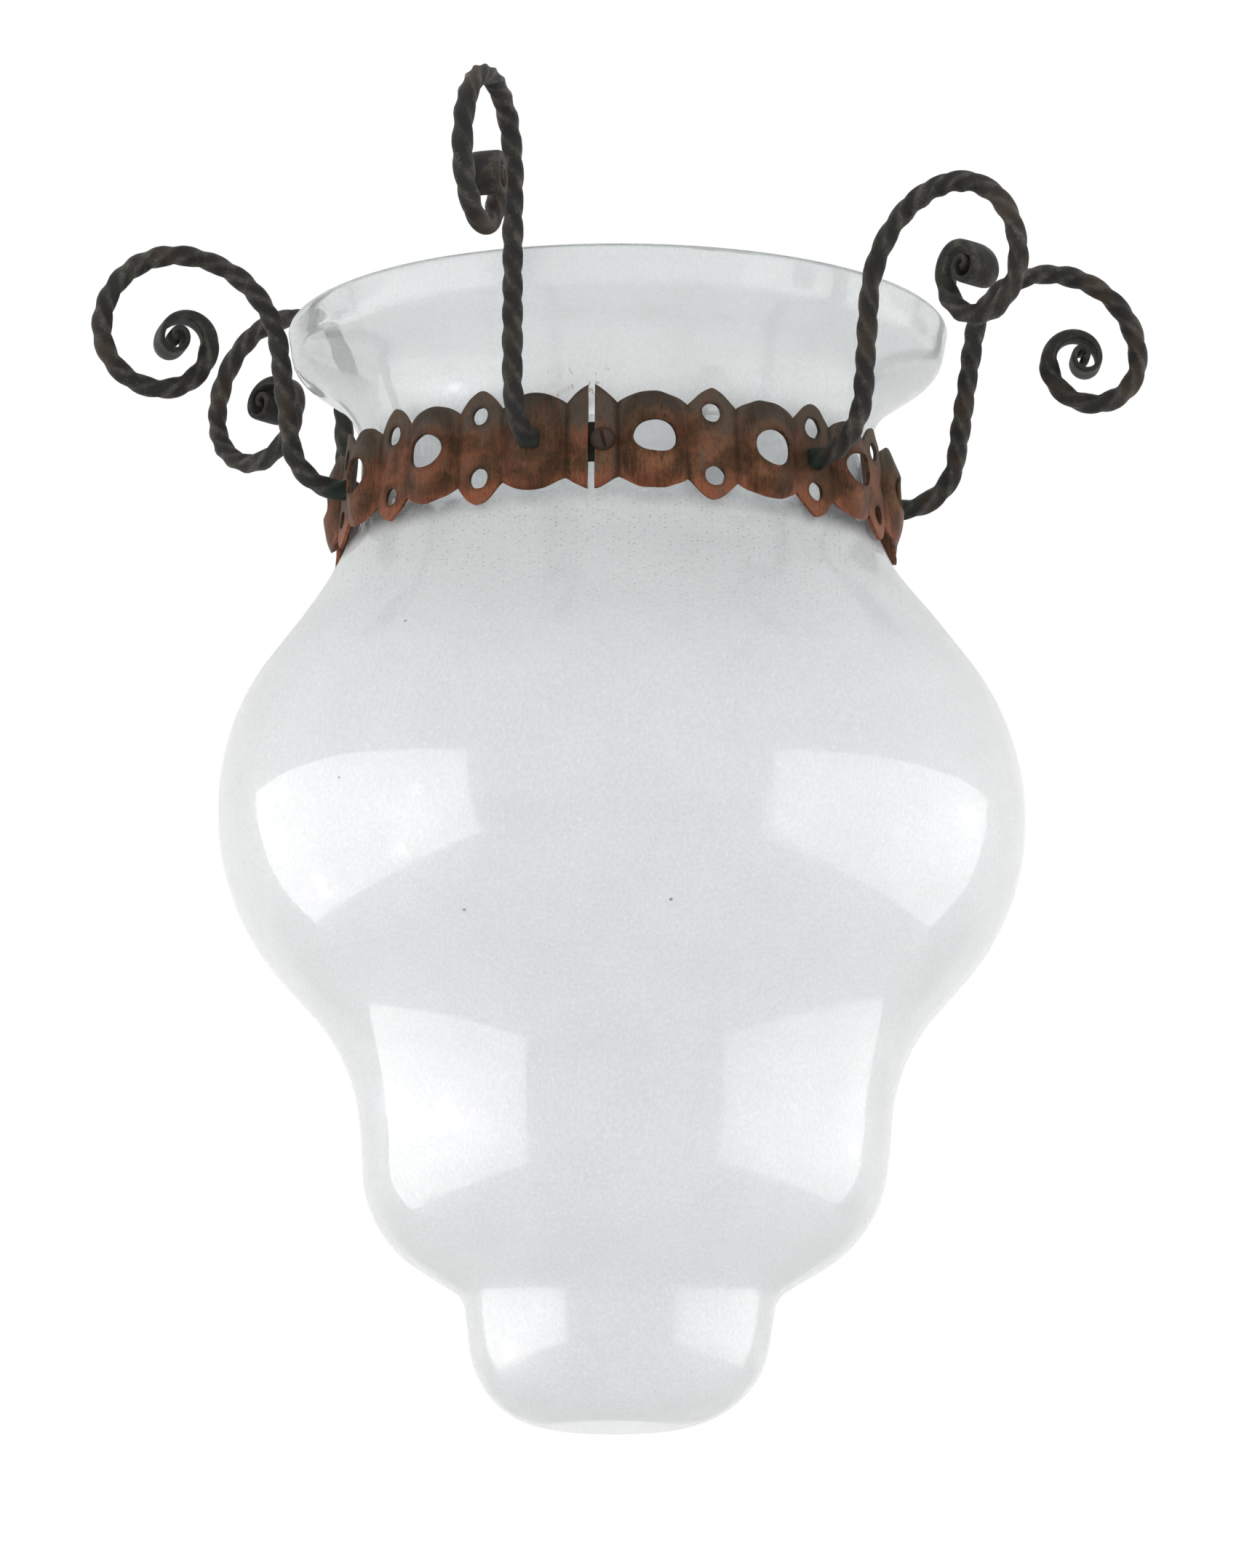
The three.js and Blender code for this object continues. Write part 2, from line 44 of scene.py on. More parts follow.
print("frame loaded,", len(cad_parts), "pieces")


# what the construction says

def nodePoints(name):  # corners of a piece of the frame, in millimetres
    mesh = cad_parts[name].data
    flat = np.empty(len(mesh.vertices) * 3)
    mesh.vertices.foreach_get("co", flat)
    return flat.reshape(-1, 3) / mm


def outward(azimuth):  # unit vector away from the lamp's axis; 0 is the front, 90 is +X
    turn = np.radians(azimuth)
    return np.stack([np.sin(turn), -np.cos(turn)], axis=-1)


def reachOf(name, azimuth):  # nearest and farthest of a piece along that direction
    along = nodePoints(name)[:, :2] @ outward(azimuth)
    return along.min(), along.max()


# meshes

def gridFaces(rows, columns, around=False):
    # corner numbers of the four-sided faces between neighbouring rows and columns
    row, column = np.meshgrid(
        np.arange(rows - 1), np.arange(columns if around else columns - 1), indexing="ij")
    here = row * columns + column
    beside = row * columns + (column + 1) % columns
    return np.stack([here, beside, beside + columns, here + columns], axis=-1).reshape(-1, 4)


def facingOut(points, faces, centre):
    # turns round each face whose normal points towards the centre it is given
    corner = points[faces]
    normal = np.cross(corner[:, 2] - corner[:, 0], corner[:, 3] - corner[:, 1])
    wrong = (normal * (corner.mean(axis=1) - centre)).sum(axis=1) < 0
    faces = faces.copy()
    faces[wrong] = faces[wrong][:, ::-1]
    return faces


def joined(*parts):  # (points, faces, marks) of several surfaces as one
    points = np.concatenate([part[0] for part in parts])
    starts = np.cumsum([0] + [len(part[0]) for part in parts[:-1]])
    faces = np.concatenate([part[1] + start for part, start in zip(parts, starts)])
    names = parts[0][2].keys()
    marks = {name: np.concatenate([part[2][name] for part in parts]) for name in names}
    return points, faces, marks


def inScene(name, data):
    thing = bpy.data.objects.new(name, data)
    bpy.context.scene.collection.objects.link(thing)
    return thing


def makePiece(name, surface, material, node, closed=True):
    # surface is its points in millimetres, its faces and what is marked on each point
    points, faces, marks = surface
    mesh = bpy.data.meshes.new(name)
    mesh.from_pydata((points * mm).tolist(), [], faces.tolist())
    for mark, values in marks.items():
        layer = mesh.attributes.new(mark, "FLOAT", "POINT")
        layer.data.foreach_set("value", np.asarray(values, dtype=np.float32))
    work = bmesh.new()
    work.from_mesh(mesh)
    bmesh.ops.remove_doubles(work, verts=work.verts, dist=2e-6)
    bmesh.ops.dissolve_degenerate(work, edges=work.edges, dist=1e-7)
    if closed:
        bmesh.ops.recalc_face_normals(work, faces=work.faces)
    work.to_mesh(mesh)
    work.free()
    mesh.polygons.foreach_set("use_smooth", [True] * len(mesh.polygons))
    mesh.materials.append(material)
    piece = inScene(name, mesh)
    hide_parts(node)
    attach(piece, "root")
    return piece


def unevenness(across, up, seed, size):
    # a sum of plane waves of random heading, phase and length about size, between about -1 and 1
    chance, count = np.random.default_rng(seed), 9
    total = np.zeros(np.broadcast(across, up).shape)
    for _ in range(count):
        heading, phase = chance.uniform(0, 2 * math.pi, 2)
        length = size * chance.uniform(0.6, 1.7)
        run = across * math.cos(heading) + up * math.sin(heading)
        total += np.sin(2 * math.pi * run / length + phase)
    return total / math.sqrt(count / 2) / 1.6


def smoothStep(value, start, end):
    share = np.clip((value - start) / (end - start), 0, 1)
    return share * share * (3 - 2 * share)


def fullTurn(steps):  # angles of even steps all round
    return np.linspace(0, 2 * math.pi, steps, endpoint=False)


def roundedSquare(turn, power):  # its radius, where its half width is 1
    return (np.abs(np.cos(turn)) ** power + np.abs(np.sin(turn)) ** power) ** (-1 / power)


# shader nodes

class Reading:
    # one output of a shader node; arithmetic on it adds Math nodes
    def __init__(self, shader, socket):
        self.shader, self.socket = shader, socket

    def maths(self, operation, *values):
        inputs = dict(enumerate(values))
        return self.shader.add("ShaderNodeMath", {"operation": operation}, inputs)[0]

    def __add__(self, other):
        return self.maths("ADD", self, other)

    def __sub__(self, other):
        return self.maths("SUBTRACT", self, other)

    def __rsub__(self, other):
        return self.maths("SUBTRACT", other, self)

    def __mul__(self, other):
        return self.maths("MULTIPLY", self, other)

    def __gt__(self, other):
        return self.maths("GREATER_THAN", self, other)

    __radd__ = __add__
    __rmul__ = __mul__

    def within(self, low, high):  # 0 at low and 1 at high, held there beyond them
        inputs = {"Value": self, "From Min": low, "From Max": high}
        settings = {"clamp": True, "interpolation_type": "SMOOTHSTEP"}
        return self.shader.add("ShaderNodeMapRange", settings, inputs)["Result"]

    def between(self, rise, fall):  # 0 up to rise, 1 from its end to the start of fall, then 0
        return self.within(*rise) * (1 - self.within(*fall))

    def either(self, other):  # the greater of two
        return self.maths("MAXIMUM", self, other)


class Shader:
    # the nodes of one material, or of the world
    def __init__(self, owner):
        owner.use_nodes = True
        self.owner, self.tree = owner, owner.node_tree
        self.tree.nodes.clear()

    def add(self, kind, settings=None, inputs=None):
        # a node of that kind: first its settings, then the values or links of its sockets
        node = self.tree.nodes.new(kind)
        for key, value in (settings or {}).items():
            setattr(node, key, value)
        for key, value in (inputs or {}).items():
            if isinstance(value, Reading):
                self.tree.links.new(value.socket, node.inputs[key])
            else:
                node.inputs[key].default_value = value
        return Outputs(self, node)

    def place(self, stretch=(1, 1, 1)):  # object coordinates, stretched to shape a pattern
        spot = self.add("ShaderNodeTexCoord")["Object"]
        return self.add("ShaderNodeMapping", {}, {"Vector": spot, "Scale": stretch})["Vector"]

    def mark(self, name):  # what the mesh marks on each of its points
        return self.add("ShaderNodeAttribute", {"attribute_name": name})["Fac"]

    def noise(self, where, size, detail=3.0, rough=0.5):  # size of the grains in millimetres
        inputs = {"Vector": where, "Scale": 1 / (size * mm), "Detail": detail, "Roughness": rough}
        return self.add("ShaderNodeTexNoise", {}, inputs)["Fac"]

    def cells(self, where, size):  # distance to the nearest dot, and the dot's own shade
        inputs = {"Vector": where, "Scale": 1 / (size * mm)}
        found = self.add("ShaderNodeTexVoronoi", {}, inputs)
        shade = self.add("ShaderNodeSeparateColor", {}, {"Color": found["Color"]})[0]
        return found["Distance"], shade

    def colour(self, share, first, second):  # from the first where share is 0 to the second at 1
        inputs = {0: share}
        for slot, value in ((6, first), (7, second)):
            inputs[slot] = value if isinstance(value, Reading) else (*value, 1)
        return self.add("ShaderNodeMix", {"data_type": "RGBA"}, inputs)[2]

    def bump(self, height, distance):  # distance in millimetres
        inputs = {"Height": height, "Distance": distance * mm, "Strength": 1.0}
        return self.add("ShaderNodeBump", {}, inputs)["Normal"]

    def principled(self, inputs):
        return self.add("ShaderNodeBsdfPrincipled", {}, inputs)[0]

    def finish(self, surface, kind="ShaderNodeOutputMaterial"):
        self.add(kind, {}, {"Surface": surface})
        return self.owner


class Outputs:
    # a node's outputs, by name or by number
    def __init__(self, shader, node):
        self.shader, self.node = shader, node

    def __getitem__(self, key):
        return Reading(self.shader, self.node.outputs[key])


# glass finish: blown glass clouded by fine white seeds; light goes through it and is spread

glassFinish = {
    "grey": (0.83, 0.85, 0.855), "white": (0.99, 0.995, 1.0), "shade": (0.50, 0.53, 0.51),
    "dust": (0.05, 0.045, 0.04), "rust": (0.28, 0.17, 0.09), "clear": (0.78, 0.80, 0.81),
    # share of the milky body in the glass, which is less behind the collar and at the rim
    "cloud": 0.965, "neckCloud": 0.15, "rimCloud": 0.42,
    "through": 0.55, "bodyRoughness": 0.5, "bodyIor": 1.2,
    "gloss": 0.015, "coatIor": 1.75, "coatLoss": 0.7, "clearIor": 1.45,
    # heights over the foot at which something sets in, and at which it is over again
    "underCollar": ((285, 352), (366, 384)), "neck": ((354, 366), (396, 404)),
    "rim": (395, 440), "coatFade": (262, 318),
    "stainUp": ((398, 404), (412, 422)), "stainAcross": ((-34, -20), (-6, 4)),
    # sizes of the patterns
    "grain": 1.1, "mottle": 30, "seed": 2.6, "spot": 1.45, "dustApart": 26, "stain": 1.8,
    "swell": 60, "ripple": 9, "bump": 0.5,
}


def glassMaterial():
    values = glassFinish
    shader = Shader(bpy.data.materials.new("speckled_glass"))
    where = shader.place()
    parts = shader.add("ShaderNodeSeparateXYZ", {}, {"Vector": where})
    across, height = parts["X"] * (1 / mm), parts["Z"] * (1 / mm)
    upright = shader.place((1, 1, 0.6))
    grain = shader.noise(upright, values["grain"], 2.0, 0.6).within(0.38, 0.64)
    mottle = shader.noise(where, values["mottle"])
    distance, shade = shader.cells(upright, values["seed"])
    seeds = (1 - distance.within(0.1, 0.26)) * (shade > 0.5)
    distance, shade = shader.cells(shader.place((0.7, 0.7, 1.2)), values["spot"])
    spots = (1 - distance.within(0.14, 0.42)) * shade.within(0.45, 0.9)
    distance, shade = shader.cells(where, values["dustApart"])
    dust = (1 - distance.within(0.018, 0.034)) * (shade > 0.72)
    underCollar = height.between(*values["underCollar"])
    thinning = height.within(*values["rim"])
    white = 0.36 + grain * 0.22 + seeds * 0.45 + (mottle - 0.5) * 0.5
    body = shader.colour(white, values["grey"], values["white"])
    # painted shade: the glass is darker under the collar, where the collar shades it, and its grey
    # spots are drawn stronger there; towards the rim the body turns a darker grey as well
    shaded = spots * (0.22 + underCollar * 0.75) + underCollar * 0.06 + thinning * 0.4
    body = shader.colour(shaded, body, values["shade"])
    body = shader.colour(dust * 0.85, body, values["dust"])
    stain = shader.noise(shader.place((1, 1, 0.4)), values["stain"]).within(0.6, 0.68)
    stain = stain * across.between(*values["stainAcross"]) * height.between(*values["stainUp"])
    body = shader.colour(stain * 0.8, body, values["rust"])
    ripple = shader.noise(where, values["ripple"], 1.0)
    swell = shader.noise(where, values["swell"], 1.0) * 0.8 + seeds * 0.025 + ripple * 0.02
    normal = shader.bump(swell, values["bump"])
    milk = shader.principled({
        "Base Color": body, "Roughness": values["bodyRoughness"], "IOR": values["bodyIor"],
        "Transmission Weight": values["through"], "Specular IOR Level": 0.0,
        "Coat Weight": 1 - height.within(*values["coatFade"]) * values["coatLoss"],
        "Coat Roughness": values["gloss"], "Coat IOR": values["coatIor"], "Normal": normal,
    })
    clear = shader.principled({
        "Base Color": (*values["clear"], 1), "Roughness": values["gloss"],
        "IOR": values["clearIor"], "Transmission Weight": 1.0, "Normal": normal,
    })
    cloud = values["cloud"] + (grain - 0.5) * 0.05 + seeds * 0.03
    cloud = cloud - thinning * (values["cloud"] - values["rimCloud"])
    cloud = cloud - height.between(*values["neck"]) * (values["cloud"] - values["neckCloud"])
    return shader.finish(shader.add("ShaderNodeMixShader", {}, {0: cloud, 1: clear, 2: milk})[0])


# copper finish: beaten sheet under a brown patina, bright from rubbing in places, with painted light
# and shade over its relief and along its edges

copperFinish = {
    "brown": (0.098, 0.05, 0.027), "red": (0.225, 0.09, 0.051), "bright": (0.4, 0.195, 0.085),
    "ember": (0.39, 0.12, 0.058), "soot": (0.105, 0.085, 0.065), "deep": (0.014, 0.01, 0.007),
    "green": (0.025, 0.032, 0.026),
    # marks drawn out up and down the sheet: width over length, width, detail and roughness
    "streaks": (0.1, 1.3, 4.0, 0.6), "scratches": (0.14, 0.52, 3.0, 0.7),
    "fine": (0.2, 0.21, 2.0, 0.6),
    "patch": 12, "blotch": 32, "grain": 1.4, "bump": 1.0,  # sizes of the patterns
    "emberUp": (-20.5, -11), "sootUp": (0, 19),  # heights from the middle of the band
}


def copperMaterial():
    # the mesh marks the place along and up the sheet, relief from 0 in the creases to 1 on the
    # domes, and closeness to a cut edge, an arm's foot and a crease
    values = copperFinish
    shader = Shader(bpy.data.materials.new("aged_copper"))
    where = shader.place()
    along, up, relief, edge, foot, crease = [
        shader.mark(name) for name in ("along", "up", "relief", "edge", "foot", "crease")]
    sheet = shader.add("ShaderNodeCombineXYZ", {}, {"X": along, "Y": up, "Z": relief})["Vector"]

    def drawnOut(stretch, width, detail, rough):
        scale = {"Vector": sheet, "Scale": (1, stretch, 0.1)}
        spot = shader.add("ShaderNodeMapping", {}, scale)["Vector"]
        return shader.noise(spot, width / mm, detail, rough)

    streaks, scratches, fine = [drawnOut(*values[kind]) for kind in ("streaks", "scratches", "fine")]
    patches = shader.noise(where, values["patch"], 5.0, 0.65)
    blotch = shader.noise(where, values["blotch"], 3.0, 0.6)
    grain = shader.noise(where, values["grain"], 3.0, 0.7)
    body = shader.colour(patches.within(0.4, 0.62), values["brown"], values["red"])
    # bright from rubbing in patches at random, and a painted highlight that grows with the relief,
    # lightest on the domes
    rubbedAndLit = relief * 0.4 + (streaks - 0.5) * 1.6 + (blotch - 0.5) * 2.6
    rubbedAndLit = rubbedAndLit + (fine - 0.5) * 1.1 + (patches - 0.5) * 0.8
    body = shader.colour(rubbedAndLit.within(0.12, 1.0) * 0.85, body, values["bright"])
    # redder towards the bottom edge: partly the copper's own colour, partly painted light from below
    warmAndLit = (1 - up.within(*values["emberUp"])) * (blotch * 0.5 + streaks * 0.5).within(0.38, 0.6)
    body = shader.colour(warmAndLit * 0.75, body, values["ember"])
    # darker towards the top and in patches: smoke stain, and towards the top painted shade on the
    # upward faces as well
    sootyShaded = up.within(*values["sootUp"]) * 0.62 + (blotch - 0.43) * 2.0
    sootyShaded = sootyShaded + (streaks - 0.5) * 1.4 + (patches - 0.5) * 0.8
    sootyShaded = sootyShaded.within(0.15, 0.75) * 0.9
    body = shader.colour(sootyShaded, body, values["soot"])
    # painted shade on the flanks of the domes, varied by the scratches
    flankShade = relief.between((0.12, 0.3), (0.45, 0.9))
    body = shader.colour(flankShade * (0.2 + scratches * 0.5), body, values["deep"])
    body = shader.colour(scratches.within(0.56, 0.68) * 0.65, body, values["deep"])
    # painted shade in the creases between lobes and points, stronger in patches
    creaseShade = crease * (0.1 + blotch.within(0.35, 0.65) * 0.6)
    body = shader.colour(creaseShade, body, values["deep"])
    # painted shade along the holes and the cut edges, where the thickness of the sheet lies in shade
    body = shader.colour(edge * 0.4, body, values["deep"])
    body = shader.colour(foot * (patches.within(0.35, 0.6) * 0.5 + 0.3), body, values["green"])
    height = scratches * 0.35 + patches * 0.55 + grain * 0.2
    height = height + blotch * 0.5 + streaks * 0.5 + fine * 0.2
    surface = shader.principled({
        "Base Color": body, "Roughness": 0.46 + sootyShaded * 0.2 + (grain - 0.5) * 0.25,
        "Metallic": 0.78 - sootyShaded * 0.4, "Specular IOR Level": 0.15,
        "Normal": shader.bump(height, values["bump"]),
    })
    return shader.finish(surface)


# iron finish: forged bar, dark scale, lighter along the corners of the twist from wear and from a
# painted highlight

ironFinish = {
    "scale": (0.018, 0.017, 0.0155), "worn": (0.115, 0.104, 0.088), "rust": (0.075, 0.048, 0.03),
    "green": (0.03, 0.036, 0.025), "patina": (0.02, 0.036, 0.03), "dust": (0.17, 0.155, 0.13),
}
screwFinish = {
    "scale": (0.05, 0.03, 0.022), "worn": (0.15, 0.08, 0.055), "rust": (0.09, 0.045, 0.03),
    "green": (0.05, 0.04, 0.03), "patina": (0.05, 0.04, 0.03), "dust": (0.2, 0.14, 0.1),
}
ironPattern = {"patch": 9, "blotch": 30, "grain": 1.0, "bump": 0.9}  # sizes


def ironMaterial(name, values):
    # marks of the mesh: closeness to a corner of the twist, and to the arm's foot
    shader = Shader(bpy.data.materials.new(name))
    where = shader.place()
    corner, foot = shader.mark("corner"), shader.mark("foot")
    patches = shader.noise(where, ironPattern["patch"], 5.0, 0.65)
    blotch = shader.noise(where, ironPattern["blotch"])
    grain = shader.noise(where, ironPattern["grain"], 4.0, 0.75)
    body = shader.colour(blotch.within(0.52, 0.7) * 0.7, values["scale"], values["rust"])
    body = shader.colour((1 - blotch.within(0.34, 0.48)) * 0.5, body, values["green"])
    # lighter along the corners: partly wear, partly painted highlight; the lighter patches from wear
    # fall at random
    worn = corner.within(0.05, 0.95) * 0.45 + (patches - 0.5) * 2.6 + (grain - 0.5) * 1.3
    worn = worn.within(0.0, 1.0)
    body = shader.colour(worn * 0.75, body, values["worn"])
    flecks = (grain * 0.5 + patches * 0.5).within(0.56, 0.66) * corner.within(0.1, 0.8)
    body = shader.colour(flecks * 0.5, body, values["dust"])
    body = shader.colour(foot.within(0.45, 1) * 0.75, body, values["patina"])
    surface = shader.principled({
        "Base Color": body, "Roughness": 0.6 - worn * 0.16 + (grain - 0.5) * 0.2,
        "Metallic": 0.3 + worn * 0.3, "Specular IOR Level": 0.35,
        "Normal": shader.bump(grain * 0.4 + patches * 0.7, ironPattern["bump"]),
    })
    return shader.finish(surface)


speckledGlass = glassMaterial()
agedCopper = copperMaterial()
forgedIron = ironMaterial("forged_iron", ironFinish)
screwIron = ironMaterial("screw_iron", screwFinish)
print("finishes made")


# glass shade

glassShape = {
    # radius, height and rounding of each corner of the outside
    "corners": [
        (0, 0, 0), (56, 0, 38), (63.6, 53, 12), (105, 79, 50), (111.5, 151, 80),
        (166.3, 213, 100), (166.3, 285, 100), (105.5, 366.7, 91), (105.5, 422.6, 34),
        (135, 443, 10), (137.2, 456, 0),
    ],
    "wall": 4.0, "footWall": 2.5, "footFade": 10,  # the foot is thicker by footWall
    "step": 1.9, "around": 180, "rimSteps": 9,
    # height, and how far the axis of this hand blown glass lies to +X there
    "drift": [(0, 0), (20, 1.6), (60, 2.4), (115, 4.6), (165, 3.9), (250, 3.0), (330, 1.6),
              (352, 0), (412, 0), (458, 1.2)],
    # waves round the glass: how many, how deep, where they start, and height for one radian more
    "waves": [(2, 0.32, 0.9, 75), (3, 0.24, 2.1, -60), (5, 0.13, 0.4, 45), (8, 0.06, 1.3, -30)],
    "stillBelow": (305, 345), "stillAbove": (412, 442),  # no waves between, where the collar sits
    "stillMiddle": (5, 45),  # radii between which the waves set in
}


def filletedLine(corners, arcSteps=40):
    # straight lines from corner to corner, each turned by an arc that touches both of its lines
    # and is drawn in where two arcs don't both fit on one line
    spots = np.array([corner[:2] for corner in corners], dtype=float)
    rounding = np.array([corner[2] for corner in corners], dtype=float)
    legs = np.diff(spots, axis=0)
    lengths = np.hypot(legs[:, 0], legs[:, 1])
    headings = np.arctan2(legs[:, 1], legs[:, 0])
    turns = np.concatenate([[0], np.diff(headings), [0]])
    wanted = rounding * np.tan(np.abs(turns) / 2)
    fits = np.minimum(1, lengths / np.maximum(wanted[:-1] + wanted[1:], 1e-9))
    line = [spots[:1]]
    for corner in range(1, len(spots) - 1):
        turn, heading = turns[corner], headings[corner - 1]
        tangent = wanted[corner] * min(fits[corner - 1], fits[corner])
        radius = tangent / math.tan(abs(turn) / 2) * np.sign(turn)
        start = spots[corner] - legs[corner - 1] / lengths[corner - 1] * tangent
        swing = heading + np.linspace(0, turn, arcSteps)
        arc = [np.sin(swing) - math.sin(heading), math.cos(heading) - np.cos(swing)]
        line.append(start + radius * np.stack(arc, axis=-1))
    line.append(spots[-1:])
    return np.concatenate(line)


def evenly(line, step):  # the same line with its points about step apart
    travelled = np.concatenate([[0], np.cumsum(np.hypot(*np.diff(line, axis=0).T))])
    stops = np.linspace(0, travelled[-1], int(travelled[-1] / step) + 1)
    return np.stack([np.interp(stops, travelled, line[:, axis]) for axis in (0, 1)], axis=-1)


def glassSurface(values):
    # the outline turned round the axis: out over the wall, over a half round rim and back inside
    outside = evenly(filletedLine(values["corners"]), values["step"])
    along = np.gradient(outside, axis=0)
    along /= np.hypot(along[:, 0], along[:, 1])[:, None]
    normal = np.stack([along[:, 1], -along[:, 0]], axis=-1)
    thicker = values["footWall"] * np.exp(-(outside[:, 1] / values["footFade"]) ** 2)
    inside = outside - normal * (values["wall"] + thicker)[:, None]
    inside[:, 0] = np.maximum(inside[:, 0], 0)
    swing = np.linspace(0, math.pi, values["rimSteps"] + 2)[1:-1, None]
    middle = (outside[-1] + inside[-1]) / 2
    rim = middle + values["wall"] / 2 * (np.cos(swing) * normal[-1] + np.sin(swing) * along[-1])
    profile = np.concatenate([outside, rim, inside[::-1]])
    radius, height = profile[:, :1], profile[:, 1:]
    turn = fullTurn(values["around"])[None]
    waves = sum(deep * np.cos(count * turn + start + height / rise)
                for count, deep, start, rise in values["waves"])
    still = smoothStep(height, *values["stillBelow"])
    still = still * (1 - smoothStep(height, *values["stillAbove"]))
    freedom = (1 - still) * smoothStep(radius, *values["stillMiddle"])
    radius = radius + waves * freedom
    shift = np.interp(height, *zip(*values["drift"]))
    height = height + 0 * turn
    points = np.stack([radius * np.cos(turn) + shift, radius * np.sin(turn), height], axis=-1)
    return points.reshape(-1, 3), gridFaces(len(profile), values["around"], around=True), {}


glassPiece = makePiece(
    "glass", glassSurface(glassShape), speckledGlass, "glass_shade")
print("glass blown")


# copper collar: two halves, each of eight domed lobes with a point between one and the next

collar = {
    "lobes": 8, "splitAzimuth": -4.6, "gap": 2.5, "thickness": 1.5,
    "spread": {"right": 6, "left": -2.5},  # degrees by which each half's middle is pushed round
    "lobeWidth": 26, "lobeHeight": 41, "lobeRise": 6.5, "edgeDome": 0.24,
    "notchHeight": 31, "pointHeight": 47.4, "pointBow": 0.3, "pointBulge": 0.6,
    "holeWidth": 15.6, "holeHeight": 14.4, "pointHole": 7.5, "pointHoleSpacing": 26,
    # how far by chance a hole is shifted and a size is off, and how soft the tips are
    "holeShift": 0.6, "holeUneven": 0.07, "pointHoleShift": 0.5, "pointHoleUneven": 0.1,
    "pointUneven": 0.015, "softness": (0.05, 0.35),
    "holeUp": 0.6, "splitShorter": 1, "splitSoftness": 0.2,
    "wobble": 0.1, "sideSteps": 24, "topSteps": 32, "pointTopSteps": 24, "splitSteps": 13,
    "rings": 11, "pointRings": 7,
    # dents of the sheet, and its unevenly cut edge, which begins this far from the middle
    "dent": 0.22, "dentSize": 13, "cut": 0.22, "cutSize": 7, "cutFrom": (14, 17),
    "bevel": 0.35, "bevelAngle": 50,
    "creaseWidth": 1.3, "footSpread": (9, 10), "footUp": 2,  # of the marks for the finish
}
# an arm's place counts lobes from the split at which its half begins
armPlaces = {
    "right_front": ("right", 2), "right": ("right", 4), "rear": ("right", 7.5),
    "left_rear": ("left", 2.5), "left": ("left", 5), "front": ("left", 7.5),
}
strapArms = ("front", "rear")  # these end at a strap, the others in a rivet on a washer
halfStarts = {"right": collar["splitAzimuth"], "left": collar["splitAzimuth"] + 180}
pitch = 180 / collar["lobes"]


def laidAzimuth(half, place):
    # even steps round the half, and a wave that pushes its middle round by the spread
    even = place * pitch
    return halfStarts[half] + even + collar["spread"][half] * np.sin(np.radians(even))


def armAzimuth(arm):
    return laidAzimuth(*armPlaces[arm])


def measureBand():
    # the sheet's inside as a cone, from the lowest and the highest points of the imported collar
    spots = nodePoints("collar_half_right")
    radius = np.hypot(spots[:, 0], spots[:, 1])
    low, high = spots[:, 2].min(), spots[:, 2].max()
    lowRadius = radius[spots[:, 2] < low + 0.01].min()
    highRadius = radius[spots[:, 2] > high - 0.01].min()
    return {"low": low, "middle": (low + high) / 2, "lowRadius": lowRadius,
            "lean": (highRadius - lowRadius) / (high - low)}


band = measureBand()
midRadius = band["lowRadius"] + band["lean"] * (band["middle"] - band["low"]) + collar["thickness"]
lobeHalf = collar["lobeWidth"] / 2
pointHalf = math.radians(pitch) * midRadius / 2 - lobeHalf


def lobeTop(across):  # an arch over the notches
    arch = np.maximum(0, 1 - (across / lobeHalf) ** 2)
    return collar["notchHeight"] / 2 + (collar["lobeHeight"] - collar["notchHeight"]) / 2 * arch


def pointTop(across, height, softness):  # two bowed slopes to a softened tip
    tip = math.sqrt(1 + softness ** 2)
    climb = (tip - np.sqrt((across / pointHalf) ** 2 + softness ** 2)) / (tip - softness)
    climb = climb * (1 + collar["pointBow"] * (1 - climb))
    return collar["notchHeight"] / 2 + (height - collar["notchHeight"]) / 2 * climb


def lobeRelief(across, up):
    # a round dome that falls to the creases at its sides and keeps a little rise at its cut edges
    side = np.maximum(0, 1 - np.abs(across / lobeHalf) ** 2.1) ** 0.95
    over = np.minimum(1, np.abs(up) / lobeTop(across))
    kept = collar["edgeDome"]
    return collar["lobeRise"] * side * (kept + (1 - kept) * (1 - over ** 2.1))


def pointRelief(across, up):  # nearly flat, bulging a little between the creases
    return collar["pointBulge"] * (1 - (across / pointHalf) ** 2) + 0 * up


def holeRing(border, centre, width, height, chance):
    # a hand cut hole: an oval with small random waves, its points in line with the border's
    aim = border - centre
    turn, waves = np.arctan2(aim[:, 1], aim[:, 0]), 0
    for count in range(2, 8):
        deep = chance.uniform(-0.5, 0.5) * collar["wobble"] / count
        waves = waves + deep * np.cos(count * turn + chance.uniform(0, 6.3))
    oval = np.stack([np.cos(turn) * width / 2, np.sin(turn) * height / 2], axis=-1)
    return centre + oval * (1 + waves)[:, None]


def piercedPatch(border, hole, rings):
    # straight lines from the hole's edge to the border of the patch, each cut into rings
    share = np.linspace(0, 1, rings + 1)[:, None, None]
    spots = hole + share * (border - hole)
    nearEdge = np.repeat(1 - smoothStep(share[:, 0], 0, 0.3), len(border), axis=1)
    return spots.reshape(-1, 2), nearEdge.reshape(-1), gridFaces(rings + 1, len(border), around=True)


